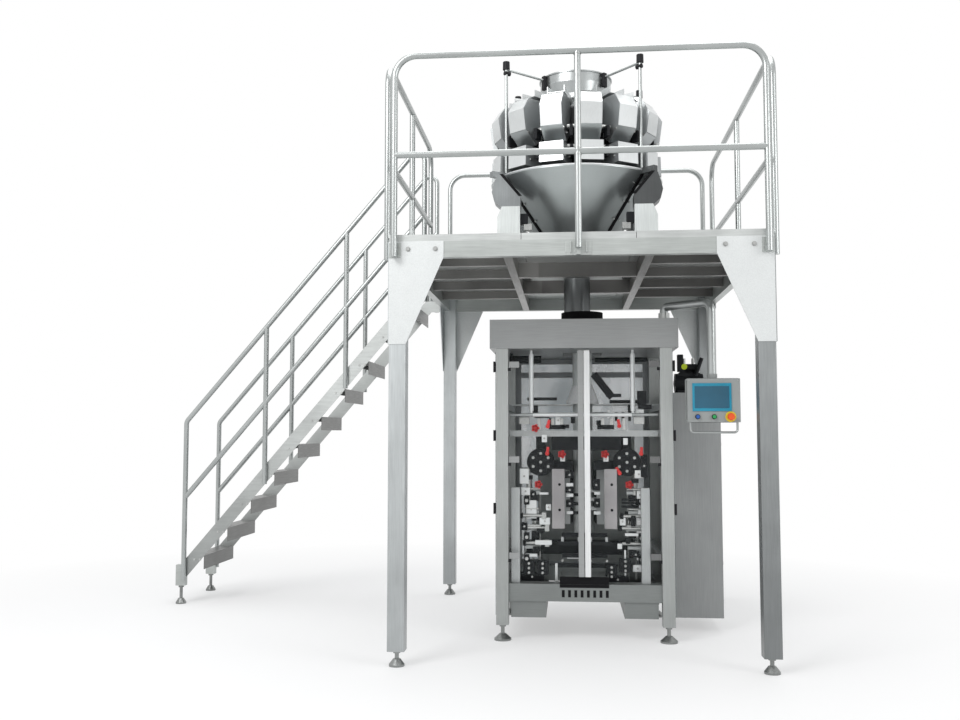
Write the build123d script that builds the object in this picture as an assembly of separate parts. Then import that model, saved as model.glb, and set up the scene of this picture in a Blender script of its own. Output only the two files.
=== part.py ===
from build123d import *

import os
from math import atan2, cos, radians, sin, tan

# A fourteen-head weigher on its work platform with stair, above the bag former it feeds.
# Millimetres. While the pieces are made, X = 0 is the platform's middle, Y = 0 the front face
# of its front legs and Z = 0 the floor. At the end all moves so that X = Y = 0 is the middle
# of the whole.

# Work platform
platform_width = 2200
platform_depth = 2650
deck_top = 2480
deck_edge = 40
deck_joint = 3
beam_height = 95
beam_width = 50
leg_size = 100
leg_corner = 6
leg_bottom = 88
opening_width = 660
opening_front = 850
opening_rear = 1575
joist_middle = 410
rib_width = 30
rib_height = 60
side_ribs = 4
gusset_width = 320
gusset_reach = 600
plate = 6
bolt_seat = 0.3

# Guard rails and hand rails
rail_diameter = 38
rail_height = 1050
mid_rail_height = 460
rail_bend = 130
front_rail_stand_off = 50
end_post_inset = 35
side_post_inset = 75
left_rail_middle = 1000
bracket_width = 70
bracket_height = 85
saddle_width = 24
centre_post_lift = 36

# Stair
treads = 10
rise = 216
going = 184.3
last_rise = 164
stair_width = 700
stringer_depth = 96
stringer_plate = 10
stringer_head = 128
tread_depth = 125
tread_rear_flange = 105
tread_front_flange = 35
tread_sheet = 4
stair_toe = 107
shoe_length = 75
shoe_width = 50
shoe_bottom = 140
shoe_top = 300
stair_top_post = 75
stair_post_first = 690
stair_post_pitch = 632.5
stair_post_count = 3
stair_post_drop = 150
stair_rail_rise = 1075
stair_mid_rail_drop = 590
stair_bend = 60

# Levelling feet
pad_diameter = 90
pad_height = 12
cone_height = 30
stem_diameter = 24
nut_diameter = 42
nut_height = 14
bagger_pad_diameter = 110
stair_pad_diameter = 80

# Weigher
heads = 14
first_head = 9.3
column_size = 150
column_middle = 450
column_height = 340
column_chamfer_wide = 30
column_chamfer_tall = 70
arm_thickness = 150
arm_middle = 400
arm_height = 230
arm_reach = 25
arm_nose = 15
arm_nose_low = 50
arm_nose_high = 110
arm_shoulder = 20
arm_chamfer = 60
arm_inner_step = 80
arm_inner_inset = 125
spoke_width = 40
spoke_height = 38
spoke_reach = 700
spoke_gaps = (-2, 2, 5, 9)
drum_radius = 330
drum_lift = 10
drum_height = 500
drum_edge = 40
drive_depth = 60
drive_width = 96
drive_lift = 70
drive_drop = 20
hopper_sheet = 3
feed_hopper_width = 150
feed_hopper_lift = 270
feed_hopper_height = 240
feed_hopper_shoulder = 80
feed_gate_drop = 72
feed_gate_reach = 95
feed_hopper_slant = 20
weigh_hopper_width = 165
weigh_hopper_lift = 62
weigh_hopper_height = 118
weigh_gate_drop = 30
weigh_gate_reach = 60
weigh_hopper_slant = 4
weigh_hopper_drop = 15
hopper_mouth = 555
feed_hopper_reach = 605
weigh_hopper_reach = 590
pan_drive_height = 43
pan_inner = 200
pan_outer = 480
pan_inner_width = 64
pan_outer_width = 120
pan_height = 42
pan_drive_size = 60
spread_radius = 195
spread_height = 120
spread_edge = 8
spread_stem_radius = 90
ring_lift = 77
ring_height = 150
ring_radius = 250
ring_taper = 20
ring_sheet = 4
ring_bead = 8
ring_straight = 70
rod_radius = 11
rod_circle = 580
rod_lift = 8
ring_arm_radius = 9
knob_radius = 22
knob_height = 26
cone_rim_radius = 600
cone_rim_lift = 28
cone_throat_radius = 106
cone_drop = 595
cone_sheet = 4
outlet_collar = 30
outlet_radius = 92
outlet_cone_drop = 60
outlet_dip = 45

# Bag former below
bagger_x = 34
bagger_reach = 540
bagger_depth = 1000
post_size = 80
post_spread = 1137
post_bottom = 100
post_corner = 4
header_width = 1215
header_bottom = 1875
header_top = 2065
header_overhang = 12
header_shaft = 270
collar_radius = 145
collar_sheet = 8
collar_top = 2165
funnel_radius = 128
funnel_top = 2110
tube_radius = 68
tube_sheet = 3
tube_bottom = 640
door_bottom = 410
door_top = 1860
door_sheet = 6
door_set_back = 8
stile_width = 36
stile_depth = 30
door_gap = 5
hinge_inset = 11
hinge_radius = 7
pin_radius = 3.5
pin_clearance = 0.1
hinge_leaf_width = 60
hinge_leaf = 8
hinge_height = 40
hinge_levels = (520, 1135, 1750)
cross_box_bottom = 250
cross_box_height = 110
cross_box_depth = 120
cross_box_set_back = 25
rear_box_set_back = 10
base_beam_height = 60
base_box_left = (-440, -215)
base_box_right = (285, 500)
base_box_height = 105
base_box_inset = 40
cabinet_width = 360
cabinet_set_back = 415
cabinet_depth = 520
cabinet_bottom = 90
cabinet_top = 1600
cover_sheet = 5
cover_bottom = 160
cover_margin = 20
side_rail_size = 40
side_rail_levels = (1475, 1303, 520)
former_plate = 10
former_plate_depth = 140
shoulder_height = 130
shoulder_radius = 112
shoulder_edge = 20
back_plate_set_back = 695
back_plate = 12
back_plate_bottom = 420
back_plate_top = 1330
back_plate_x = (-285, 400)
belt_rail_set_back = 215
belt_beam_x = (-177, 281)
belt_beam_height = 90
belt_beam_depth = 50
belt_drive_radius = 62
belt_drive_level = 1125
belt_drive_out = 215
belt_drive_length = 110
belt_hub_radius = 24
belt_hub_length = 20
belt_arm_height = 60
belt_top = 1080
belt_bottom = 700
belt_width = 60
belt_depth = 70
belt_gap = 3
belt_plate = 8
belt_plate_width = 84
belt_plate_shift = 20
jaw_depth = 60
jaw_height = 80
jaw_gap = 70
carrier_width = 70
carrier_height = 120
guide_radius = 14
profile_x = ((-440, -385), (400, 455))
profile_depth = 60
profile_top = 970
hang_rod_x = (-310, 358)
hang_rod_radius = 9
film_rail_level = 1446
film_rail_radius = 10
film_rail_set_back = 165
tray_x = (-126, 187)
tray_height = 50
tray_depth = 240
tray_sheet = 4
motor_radius = 68
motor_length = 190
motor_set_in = 120
motor_foot_inset = 20

# Control panel on its arm
arm_pivot_x = 560
arm_pivot_set_back = 75
arm_base_radius = 36
arm_base_height = 40
arm_radius = 27
arm_level = 2145
arm_bend = 60
arm_near_bend = 33
arm_running_gap = 0.4
panel_x = 826
panel_reach = 185
panel_width = 322
panel_bottom = 1392
panel_height = 270
panel_depth = 120
panel_neck = 30
panel_corner = 4
panel_neck_wall = 4
screen_margin = 30
screen_shift = 12
screen_proud = 6
screen_width = 236
screen_height = 172
button_radius = 15
button_rise = 34
button_spread = 100
button_proud = 16
handle_radius = 7
handle_drop = 62
handle_inset = 10
handle_bend = 20
handle_span = 286

# Derived levels and lines
rail_radius = rail_diameter / 2
weigher_y = platform_depth / 2
stair_rear = platform_depth
half_width = platform_width / 2
beam_top = deck_top - deck_edge
beam_bottom = beam_top - beam_height
rail_z = deck_top + rail_height
mid_rail_z = deck_top + mid_rail_height
side_rail_x = half_width + plate + rail_radius + bolt_seat
front_rail_y = -front_rail_stand_off
rear_rail_y = platform_depth + front_rail_stand_off
end_post_x = half_width - end_post_inset
arm_top = deck_top + column_height + arm_height
drum_bottom = arm_top + drum_lift
drum_top = drum_bottom + drum_height
drive_bottom = drum_bottom + drive_lift
drive_top = drum_top - drive_drop
feed_hopper_bottom = drum_bottom + feed_hopper_lift
feed_hopper_top = feed_hopper_bottom + feed_hopper_height
weigh_hopper_bottom = drum_bottom + weigh_hopper_lift
weigh_hopper_top = weigh_hopper_bottom + weigh_hopper_height
pan_floor = drum_top + pan_drive_height
ring_bottom = pan_floor + ring_lift
ring_top = ring_bottom + ring_height
rod_top = ring_top + rod_lift
cone_rim = arm_top + cone_rim_lift
cone_throat = cone_rim - cone_drop
outlet_cone_bottom = cone_throat - outlet_cone_drop
outlet_bottom = collar_top - outlet_dip
stair_bottom_end = half_width + treads * going + stair_toe
bagger_front = weigher_y - bagger_reach
bagger_rear = bagger_front + bagger_depth
cabinet_front = bagger_front + cabinet_set_back
back_plate_y = bagger_front + back_plate_set_back
belt_rail_front = bagger_front + belt_rail_set_back
film_rail_front = bagger_front + film_rail_set_back
arm_pivot_y = bagger_front + arm_pivot_set_back
panel_y = bagger_front - panel_reach
post_left = bagger_x - post_spread / 2
post_right = bagger_x + post_spread / 2
head_pitch = 360 / heads
head_seat = drum_radius + drive_depth
slope = rise / going
stair_angle = atan2(rise, going)
stair_top_x = -half_width - plate - bolt_seat
left_rail_end = stair_rear - stair_width - rail_radius - bolt_seat

nodes = {}


def block(x, y, z):
    """A box from three pairs of limits."""
    size = (x[1] - x[0], y[1] - y[0], z[1] - z[0])
    return Pos(x[0], y[0], z[0]) * Box(*size, align=(Align.MIN, Align.MIN, Align.MIN))


def about(middle, width):
    """The two limits of a width about its middle."""
    return (middle - width / 2, middle + width / 2)


def rod(start, end, radius):
    """A round bar between two points."""
    along = Vector(*end) - Vector(*start)
    return Solid.make_cylinder(radius, along.length, Plane(origin=start, z_dir=along))


def elbow(corner, toward_start, toward_end, bend, radius):
    """A round bar's bend about a corner, and how far from the corner its ends lie."""
    first = Vector(*toward_start).normalized()
    last = Vector(*toward_end).normalized()
    half = radians(first.get_angle(last)) / 2
    reach = bend / tan(half)
    corner = Vector(*corner)
    centre = corner + (first + last).normalized() * (bend / sin(half))
    middle = centre + (corner - centre).normalized() * bend
    path = ThreePointArc(corner + first * reach, middle, corner + last * reach)
    section = Plane(origin=corner + first * reach, z_dir=first * -1) * Circle(radius)
    return sweep(section, path=path), reach


def outline(points, plane):
    """A flat face from its corner points, given in the plane's own two directions."""
    return make_face(plane * Polyline(*points, close=True))


def slab_y(points, y):
    """A plate with an outline in X and Z between two depths."""
    return extrude(outline(points, Plane.XZ.offset(-y[0])), amount=y[1] - y[0], dir=(0, 1, 0))


def slab_x(points, x):
    """A plate with an outline in Y and Z between two widths."""
    return extrude(outline(points, Plane.YZ.offset(x[0])), amount=x[1] - x[0], dir=(1, 0, 0))


def turned(points, arc=360):
    """A solid turned about the Z axis from its outline of radius and height."""
    return revolve(outline(points, Plane.XZ), axis=Axis.Z, revolution_arc=arc)


def round_heads(piece, middle, angles):
    """Copies of a piece made along +X, turned to angles counted from the front towards +X."""
    return [Pos(*middle) * Rot(0, 0, angle - 90) * piece for angle in angles]


def solids_of(pieces):
    """All solids of a mixed list of shapes."""
    return [solid for piece in pieces for solid in piece.solids()]


def levelling_foot(x, y, top, diameter):
    """Pad, cone, threaded stem and lock nut of one levelling foot."""
    pad = diameter / 2
    stem = stem_diameter / 2
    nut = nut_diameter / 2
    points = [
        (0, 0), (pad, 0), (pad, pad_height), (nut, pad_height + cone_height),
        (stem, pad_height + cone_height), (stem, top - nut_height), (nut, top - nut_height),
        (nut, top), (0, top),
    ]
    return Pos(x, y, 0) * turned(points)


def post_places():
    """Where the bag former's four posts stand: X and Y limits."""
    columns = ((post_left, post_left + post_size), (post_right - post_size, post_right))
    rows = ((bagger_front, bagger_front + post_size), (bagger_rear - post_size, bagger_rear))
    return [(x, y) for x in columns for y in rows]


def make_feet():
    feet = []
    for x in (-half_width + leg_size / 2, half_width - leg_size / 2):
        for y in (leg_size / 2, platform_depth - leg_size / 2):
            feet.append(levelling_foot(x, y, leg_bottom, pad_diameter))
    for x, y in post_places():
        feet.append(levelling_foot(sum(x) / 2, sum(y) / 2, post_bottom, bagger_pad_diameter))
    x, shoes_y = shoe_places()
    for y in shoes_y:
        feet.append(levelling_foot(sum(x) / 2, sum(y) / 2, shoe_bottom, stair_pad_diameter))
    nodes["levelling_feet"] = feet


def make_frame():
    """Legs, beams, joists, ribs and corner gussets of the platform."""
    legs = []
    for x in ((-half_width, -half_width + leg_size), (half_width - leg_size, half_width)):
        for y in ((0, leg_size), (platform_depth - leg_size, platform_depth)):
            leg = block(x, y, (leg_bottom, beam_top))
            legs.append(fillet(leg.edges().filter_by(Axis.Z), leg_corner))
    nodes["platform_legs"] = legs

    z = (beam_bottom, beam_top)
    between_legs = (-half_width + leg_size, half_width - leg_size)
    front = block(between_legs, (0, beam_width), z)
    rear = block(between_legs, (platform_depth - beam_width, platform_depth), z)
    depth = (leg_size, platform_depth - leg_size)
    left = block((-half_width, -half_width + beam_width), depth, z)
    right = block((half_width - beam_width, half_width), depth, z)
    nodes["platform_beams"] = [front, rear, left, right]

    inside = (beam_width, platform_depth - beam_width)
    nodes["main_joists"] = [block(about(x, beam_width), inside, z) for x in (-joist_middle, joist_middle)]

    ribs = []
    rib_z = (beam_top - rib_height, beam_top)
    bay = (joist_middle + beam_width / 2, half_width - beam_width)
    step = (platform_depth - beam_width) / (side_ribs + 1)
    for index in range(side_ribs):
        y = about(beam_width / 2 + step * (index + 1), rib_width)
        ribs.append(block(bay, y, rib_z))
        ribs.append(block((-bay[1], -bay[0]), y, rib_z))
    middle_bay = about(0, 2 * joist_middle - beam_width)
    ribs.append(block(middle_bay, (opening_front - beam_width, opening_front), z))
    ribs.append(block(middle_bay, (opening_rear, opening_rear + beam_width), z))
    nodes["deck_ribs"] = ribs


def gusset_outline(corner, side):
    """Corner plate: level top, short drop, then a straight slant to the leg's width."""
    low = beam_top - gusset_reach
    return [
        (corner, beam_top), (corner, low), (corner + side * leg_size, low),
        (corner + side * gusset_width, beam_bottom), (corner + side * gusset_width, beam_top),
    ]


def make_gussets():
    across = []
    along = []
    for side in (1, -1):
        points = gusset_outline(-side * half_width, side)
        across.append(slab_y(points, (-plate, 0)))
        across.append(slab_y(points, (platform_depth, platform_depth + plate)))
        for corner, inward in ((0, 1), (platform_depth, -1)):
            points = gusset_outline(corner, inward)
            x = (half_width, half_width + plate) if side > 0 else (-half_width - plate, -half_width)
            along.append(slab_x(points, x))
    nodes["gussets_front_rear"] = across
    nodes["gussets_sides"] = along


def make_deck():
    """Four deck panels round the opening under the weigher."""
    z = (beam_top, deck_top)
    half = opening_width / 2
    gap = deck_joint / 2
    nodes["deck_panels"] = [
        block((-half_width, -half - gap), (0, platform_depth), z),
        block((half + gap, half_width), (0, platform_depth), z),
        block((-half + gap, half - gap), (0, opening_front), z),
        block((-half + gap, half - gap), (opening_rear, platform_depth), z),
    ]


def rail_frame(start, end, middles, low):
    """Posts, bends, top rail and mid rails of one guard rail between two end posts."""
    first = Vector(*start, 0)
    last = Vector(*end, 0)
    along = (last - first).normalized()
    down = (0, 0, -1)
    posts = []
    bends = []
    reach = 0
    for end_post, inward in ((first, along), (last, along * -1)):
        top = end_post + Vector(0, 0, rail_z)
        bend, reach = elbow(top, down, inward, rail_bend, rail_radius)
        bends.append(bend)
        posts.append(rod(end_post + Vector(0, 0, low), top - Vector(0, 0, reach), rail_radius))
    level = Vector(0, 0, rail_z)
    top_rail = rod(first + level + along * reach, last + level - along * reach, rail_radius)
    reamer = rod(first + level, last + level, rail_radius + bolt_seat)
    stops = [first]
    for distance, bottom in middles:
        foot = first + along * distance
        post = rod(foot + Vector(0, 0, bottom), foot + level, rail_radius)
        posts.append((post - reamer).solids().sort_by(Axis.Z)[0])
        stops.append(foot)
    stops.append(last)
    mids = []
    for left, right in zip(stops[:-1], stops[1:]):
        height = Vector(0, 0, mid_rail_z)
        piece = rod(left + height, right + height, rail_radius)
        for stop in (left, right):
            below = stop + Vector(0, 0, deck_top)
            piece = piece - rod(below, stop + level, rail_radius + bolt_seat)
        mids.append(piece.solids().sort_by(lambda solid: solid.volume)[-1])
    return posts, bends, [top_rail], mids


def bracket(x, y, outward, spread, tall, stand_off):
    """Plate on the platform's face with a saddle that reaches a rail's post."""
    z = (beam_bottom, beam_bottom + tall)
    half = spread / 2
    if stand_off <= plate + bolt_seat:
        return block((min(x, x + outward * plate), max(x, x + outward * plate)), (y - half, y + half), z)
    face = sorted((y, y + outward * plate))
    reach = sorted((y, y + outward * stand_off))
    return block((x - half, x + half), face, z) + block(about(x, saddle_width), reach, z)


def make_guard_rails():
    centre_foot = beam_bottom + centre_post_lift
    rear_length = 2 * end_post_x
    side_length = platform_depth - 2 * side_post_inset
    frames = [
        rail_frame((-end_post_x, front_rail_y), (end_post_x, front_rail_y),
                   [(end_post_x, centre_foot)], beam_bottom),
        rail_frame((-end_post_x, rear_rail_y), (end_post_x, rear_rail_y),
                   [(rear_length / 2, centre_foot)], beam_bottom),
        rail_frame((side_rail_x, side_post_inset), (side_rail_x, platform_depth - side_post_inset),
                   [(side_length / 2, beam_bottom)], beam_bottom),
        rail_frame((-side_rail_x, side_post_inset), (-side_rail_x, left_rail_end),
                   [(left_rail_middle - side_post_inset, beam_bottom)], beam_bottom),
    ]
    brackets = []
    stand_off = front_rail_stand_off - rail_radius - bolt_seat
    for x, spread, thickness in ((-end_post_x, bracket_width, plate), (0, 2 * bracket_width, 0),
                                 (end_post_x, bracket_width, plate)):
        brackets.append(bracket(x, -thickness, -1, spread, bracket_height, stand_off - thickness))
        rear_face = platform_depth + thickness
        brackets.append(bracket(x, rear_face, 1, spread, bracket_height, stand_off - thickness))
    for x, y, side in ((half_width, platform_depth / 2, 1), (-half_width, left_rail_middle, -1),
                       (-half_width, left_rail_end, -1)):
        brackets.append(bracket(x, y, side, bracket_width, bracket_height, plate))
    nodes["rail_brackets"] = brackets
    return frames


def stringer_top(x):
    """Height of the stringers' upper edge at a distance left of the platform's middle."""
    return deck_top - (x - stringer_head - half_width) * slope


def stringer_middles():
    """Y of the middle of each stringer, front and rear."""
    half = stringer_plate / 2
    return (stair_rear - stair_width + half, stair_rear - half)


def shoe_places():
    """X limits of both shoes at the stair's foot, then the Y limits of each."""
    inner = shoe_width - stringer_plate / 2
    front, rear = stringer_middles()
    x = (-stair_bottom_end - shoe_length, -stair_bottom_end)
    return x, ((front - stringer_plate / 2, front + inner), (rear - inner, rear + stringer_plate / 2))


def make_stair():
    """Stringers, the treads between them and the shoes on their feet."""
    drop = stringer_depth / cos(stair_angle)
    end = stair_bottom_end
    head = half_width + stringer_head
    knee = (deck_top - beam_bottom - drop) / slope + head
    points = [
        (-head, deck_top), (stair_top_x, deck_top), (stair_top_x, beam_bottom), (-knee, beam_bottom),
        (-end, stringer_top(end) - drop), (-end, stringer_top(end)),
    ]
    front, rear = stringer_middles()
    nodes["stair_stringers"] = [slab_y(points, about(y, stringer_plate)) for y in (front, rear)]
    shoe_x, shoes_y = shoe_places()
    nodes["stair_shoes"] = [block(shoe_x, y, (shoe_bottom, shoe_top)) for y in shoes_y]

    y = (front + stringer_plate / 2, rear - stringer_plate / 2)
    sheet = tread_sheet
    steps = []
    for step in range(treads):
        z = deck_top - last_rise - step * rise
        nose = -(head + (deck_top - z) / slope)
        back = nose + tread_depth
        fold = [
            (nose, z), (back, z), (back, z - tread_rear_flange), (back - sheet, z - tread_rear_flange),
            (back - sheet, z - sheet), (nose + sheet, z - sheet), (nose + sheet, z - tread_front_flange),
            (nose, z - tread_front_flange),
        ]
        steps.append(slab_y(fold, y))
    nodes["stair_treads"] = steps


def stair_rail(y):
    """Posts, bends and sloping rails of the hand rail at one side of the stair."""
    down = (0, 0, -1)
    up_slope = Vector(cos(stair_angle), 0, sin(stair_angle))
    first = half_width + stair_post_first
    places = [first + stair_post_pitch * index for index in range(stair_post_count)]
    low_x = places[-1]

    def line(x):
        return Vector(-x, y, stringer_top(x) + stair_rail_rise)

    top_x = half_width + stair_top_post
    low_bend, low_reach = elbow(line(low_x), down, up_slope, stair_bend, rail_radius)
    top_bend, top_reach = elbow(line(top_x), down, up_slope * -1, stair_bend, rail_radius)
    bends = [low_bend, top_bend]
    start = line(low_x) + up_slope * low_reach
    end = line(top_x) - up_slope * top_reach
    top_rail = rod(start, end, rail_radius)
    reamer = rod(line(low_x), line(top_x), rail_radius + bolt_seat)
    posts = [
        rod((-low_x, y, stringer_top(low_x) - stair_post_drop),
            line(low_x) - Vector(0, 0, low_reach), rail_radius),
        rod((-top_x, y, beam_bottom), line(top_x) - Vector(0, 0, top_reach), rail_radius),
    ]
    for x in places[:-1]:
        post = rod((-x, y, stringer_top(x) - stair_post_drop), line(x), rail_radius)
        posts.append((post - reamer).solids().sort_by(Axis.Z)[0])
    mids = []
    stops = sorted(places + [top_x], reverse=True)
    drop = Vector(0, 0, stair_mid_rail_drop)
    for lower, upper in zip(stops[:-1], stops[1:]):
        piece = rod(line(lower) - drop, line(upper) - drop, rail_radius)
        for x in (lower, upper):
            piece = piece - rod((-x, y, 0), (-x, y, rail_z), rail_radius + bolt_seat)
        mids.append(piece.solids().sort_by(lambda solid: solid.volume)[-1])
    return posts, bends, [top_rail], mids


def make_rails():
    frames = make_guard_rails()
    front, rear = stringer_middles()
    out = stringer_plate / 2 + rail_radius + bolt_seat
    frames += [stair_rail(front - out), stair_rail(rear + out)]
    posts, bends, tops, mids = ([piece for pieces in kind for piece in pieces] for kind in zip(*frames))
    nodes["rail_posts"] = posts
    nodes["rail_bends"] = bends
    nodes["top_and_mid_rails"] = tops + mids


def make_weigher_stand():
    """Four columns, the arms on them and the spokes that carry the drum."""
    columns = []
    arms = []
    x0, x1 = about(column_middle, column_size)
    top = deck_top + column_height
    column = [
        (x0, deck_top), (x1, deck_top), (x1, top - column_chamfer_tall),
        (x1 - column_chamfer_wide, top), (x0, top),
    ]
    reach = x1 + arm_reach
    arm = [
        (x0, top), (x1 - column_chamfer_wide, top), (reach, top + arm_nose_low),
        (reach + arm_nose, top + arm_nose_high), (reach, arm_top - arm_chamfer),
        (reach - arm_shoulder, arm_top), (x0 + arm_inner_inset, arm_top),
        (x0, top + arm_inner_step),
    ]
    for side in (1, -1):
        for row in (1, -1):
            y = weigher_y + row * column_middle
            points = [(side * x, z) for x, z in column]
            columns.append(slab_y(points, about(y, column_size)))
            points = [(side * x, z) for x, z in arm]
            arms.append(slab_y(points, about(weigher_y + row * arm_middle, arm_thickness)))
    nodes["weigher_columns"] = columns
    nodes["weigher_arms"] = arms

    spoke = block((drum_radius * cos(spoke_width / 2 / drum_radius), spoke_reach),
                  about(0, spoke_width), (arm_top, arm_top + spoke_height))
    spoke = spoke - Cylinder(drum_radius + bolt_seat, 8 * spoke_height).moved(Pos(0, 0, arm_top))
    nodes["drum_spokes"] = round_heads(spoke, (0, weigher_y, 0), gap_angles())


def gap_angles():
    """Directions of the four gaps between heads that the spokes and rods pass."""
    return [first_head + head_pitch * (gap - 0.5) for gap in spoke_gaps]


def head_angles():
    return [first_head + head_pitch * head for head in range(heads)]


def make_drum():
    drum = turned([
        (0, drum_bottom - drum_edge), (drum_radius - 3 * drum_edge, drum_bottom - drum_edge),
        (drum_radius, drum_bottom), (drum_radius, drum_top - drum_edge / 2),
        (drum_radius - drum_edge / 2, drum_top), (0, drum_top),
    ])
    nodes["weigher_drum"] = [Pos(0, weigher_y, 0) * drum]

    drive = block((drum_radius * cos(drive_width / drum_radius), head_seat),
                  about(0, drive_width), (drive_bottom, drive_top))
    drive = drive - Cylinder(drum_radius + bolt_seat, 2 * drum_top).moved(Pos(0, 0, drum_top))
    start = drum_radius - 2 * pan_drive_size
    shaker = block((start, start + pan_drive_size), about(0, pan_drive_size), (drum_top, pan_floor))
    nodes["weigher_drives"] = [
        copy for piece in (drive, shaker) for copy in round_heads(piece, (0, weigher_y, 0), head_angles())
    ]


def hopper(width, points, gate_point):
    """Side plates, inner and outer walls and the two bottom flaps of one hopper.

    The points are the outer corners from the inner wall's foot up, over and down the outside."""
    sheet = hopper_sheet
    half = width / 2
    inner_foot, outer_foot = points[0], points[-1]
    shape = points + [gate_point]
    plates = [slab_y(shape, (half - sheet, half)), slab_y(shape, (-half, -half + sheet))]
    y = (-half + sheet, half - sheet)

    def strip(path):
        """A folded sheet along a path, its thickness on the hopper's inner side."""
        centre_x = sum(point[0] for point in shape) / len(shape)
        centre_z = sum(point[1] for point in shape) / len(shape)
        inward = []
        for index, point in enumerate(path):
            before = path[max(index - 1, 0)]
            after = path[min(index + 1, len(path) - 1)]
            run = Vector(after[0] - before[0], 0, after[1] - before[1]).normalized()
            normal = Vector(-run.Z, 0, run.X)
            toward = Vector(centre_x - point[0], 0, centre_z - point[1])
            normal = normal if normal.dot(toward) > 0 else normal * -1
            inward.append((point[0] + normal.X * sheet, point[1] + normal.Z * sheet))
        return slab_y(list(path) + inward[::-1], y)

    walls = [strip(points[:2]), strip(points[2:])]
    gap = sheet + bolt_seat
    lower = gate_point
    slope_in = Vector(lower[0] - inner_foot[0], 0, lower[1] - inner_foot[1]).normalized() * gap
    slope_out = Vector(lower[0] - outer_foot[0], 0, lower[1] - outer_foot[1]).normalized() * gap
    inner = [(inner_foot[0] + slope_in.X, inner_foot[1] + slope_in.Z),
             (lower[0] - slope_in.X, lower[1] - slope_in.Z)]
    outer = [(outer_foot[0] + slope_out.X, outer_foot[1] + slope_out.Z),
             (lower[0] - slope_out.X, lower[1] - slope_out.Z)]
    gates = [strip(inner), strip(outer)]
    return plates, walls, gates


def make_hoppers():
    seat = head_seat + bolt_seat
    feed = [
        (seat, feed_hopper_bottom), (seat, feed_hopper_top), (hopper_mouth, feed_hopper_top),
        (feed_hopper_reach, feed_hopper_top - feed_hopper_shoulder),
        (feed_hopper_reach - feed_hopper_slant, feed_hopper_bottom + feed_hopper_slant),
    ]
    weigh = [
        (seat, weigh_hopper_bottom), (seat, weigh_hopper_top), (weigh_hopper_reach, weigh_hopper_top),
        (weigh_hopper_reach + weigh_hopper_slant, weigh_hopper_bottom - weigh_hopper_drop),
    ]
    middle = (0, weigher_y, 0)
    feed_gate = (seat + feed_gate_reach, feed_hopper_bottom - feed_gate_drop)
    weigh_gate = (seat + weigh_gate_reach, weigh_hopper_bottom - weigh_gate_drop)
    feed_parts = hopper(feed_hopper_width, feed, feed_gate)
    weigh_parts = hopper(weigh_hopper_width, weigh, weigh_gate)
    names = ("hopper_sides", "hopper_walls", "hopper_gates")
    for name, upper, lower in zip(names, feed_parts, weigh_parts):
        nodes[name] = [
            copy for piece in upper + lower for copy in round_heads(piece, middle, head_angles())
        ]


def make_feeders():
    """Fourteen feeder pans round the spreading cone."""
    sheet = hopper_sheet
    half_in = pan_inner_width / 2
    half_out = pan_outer_width / 2
    floor = outline([(pan_inner, -half_in), (pan_outer, -half_out), (pan_outer, half_out),
                     (pan_inner, half_in)], Plane.XY.offset(pan_floor))
    floor = extrude(floor, amount=sheet, dir=(0, 0, 1))
    middle = (0, weigher_y, 0)
    nodes["feeder_pans"] = round_heads(floor, middle, head_angles())
    sides = []
    for side in (1, -1):
        wall = outline([(pan_inner, side * half_in), (pan_outer, side * half_out),
                        (pan_outer, side * (half_out - sheet)), (pan_inner, side * (half_in - sheet))],
                       Plane.XY.offset(pan_floor + sheet))
        wall = extrude(wall, amount=pan_height, dir=(0, 0, 1))
        sides += round_heads(wall, middle, head_angles())
    nodes["feeder_pan_sides"] = sides

    base = pan_floor + hopper_sheet + pan_height + spread_edge
    cone = turned([
        (0, drum_top), (spread_stem_radius, drum_top), (spread_stem_radius, base),
        (spread_radius, base), (spread_radius, base + spread_edge), (0, base + spread_height),
    ])
    nodes["spreading_cone"] = [Pos(*middle) * cone]


def make_infeed():
    """The infeed ring, its four rods and the arms between them."""
    low = ring_radius - ring_taper
    sheet = ring_sheet
    ring = turned([
        (low, ring_bottom), (ring_radius, ring_top - ring_straight), (ring_radius, ring_top - ring_bead),
        (ring_radius + ring_bead, ring_top - ring_bead), (ring_radius + ring_bead, ring_top),
        (ring_radius - sheet, ring_top), (ring_radius - sheet, ring_top - ring_straight),
        (low - sheet, ring_bottom),
    ])
    middle = (0, weigher_y, 0)
    nodes["infeed_ring"] = [Pos(*middle) * ring]
    foot = arm_top + spoke_height
    upright = rod((rod_circle, 0, foot), (rod_circle, 0, rod_top), rod_radius)
    upright += Pos(rod_circle, 0, rod_top + knob_height / 2) * Cylinder(knob_radius, knob_height)
    inner_end = (ring_radius - 2 * sheet, 0, ring_top - ring_straight / 2)
    arm = rod(inner_end, (rod_circle, 0, rod_top - knob_radius), ring_arm_radius)
    arm = arm - rod((0, 0, 0), (0, 0, rod_top), ring_radius + bolt_seat)
    arm = arm - rod((rod_circle, 0, foot), (rod_circle, 0, rod_top), rod_radius + bolt_seat)
    arm = arm.solids().sort_by(lambda solid: solid.volume)[-1]
    nodes["ring_stand"] = [
        copy for piece in (upright, arm) for copy in round_heads(piece, middle, gap_angles())
    ]


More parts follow.
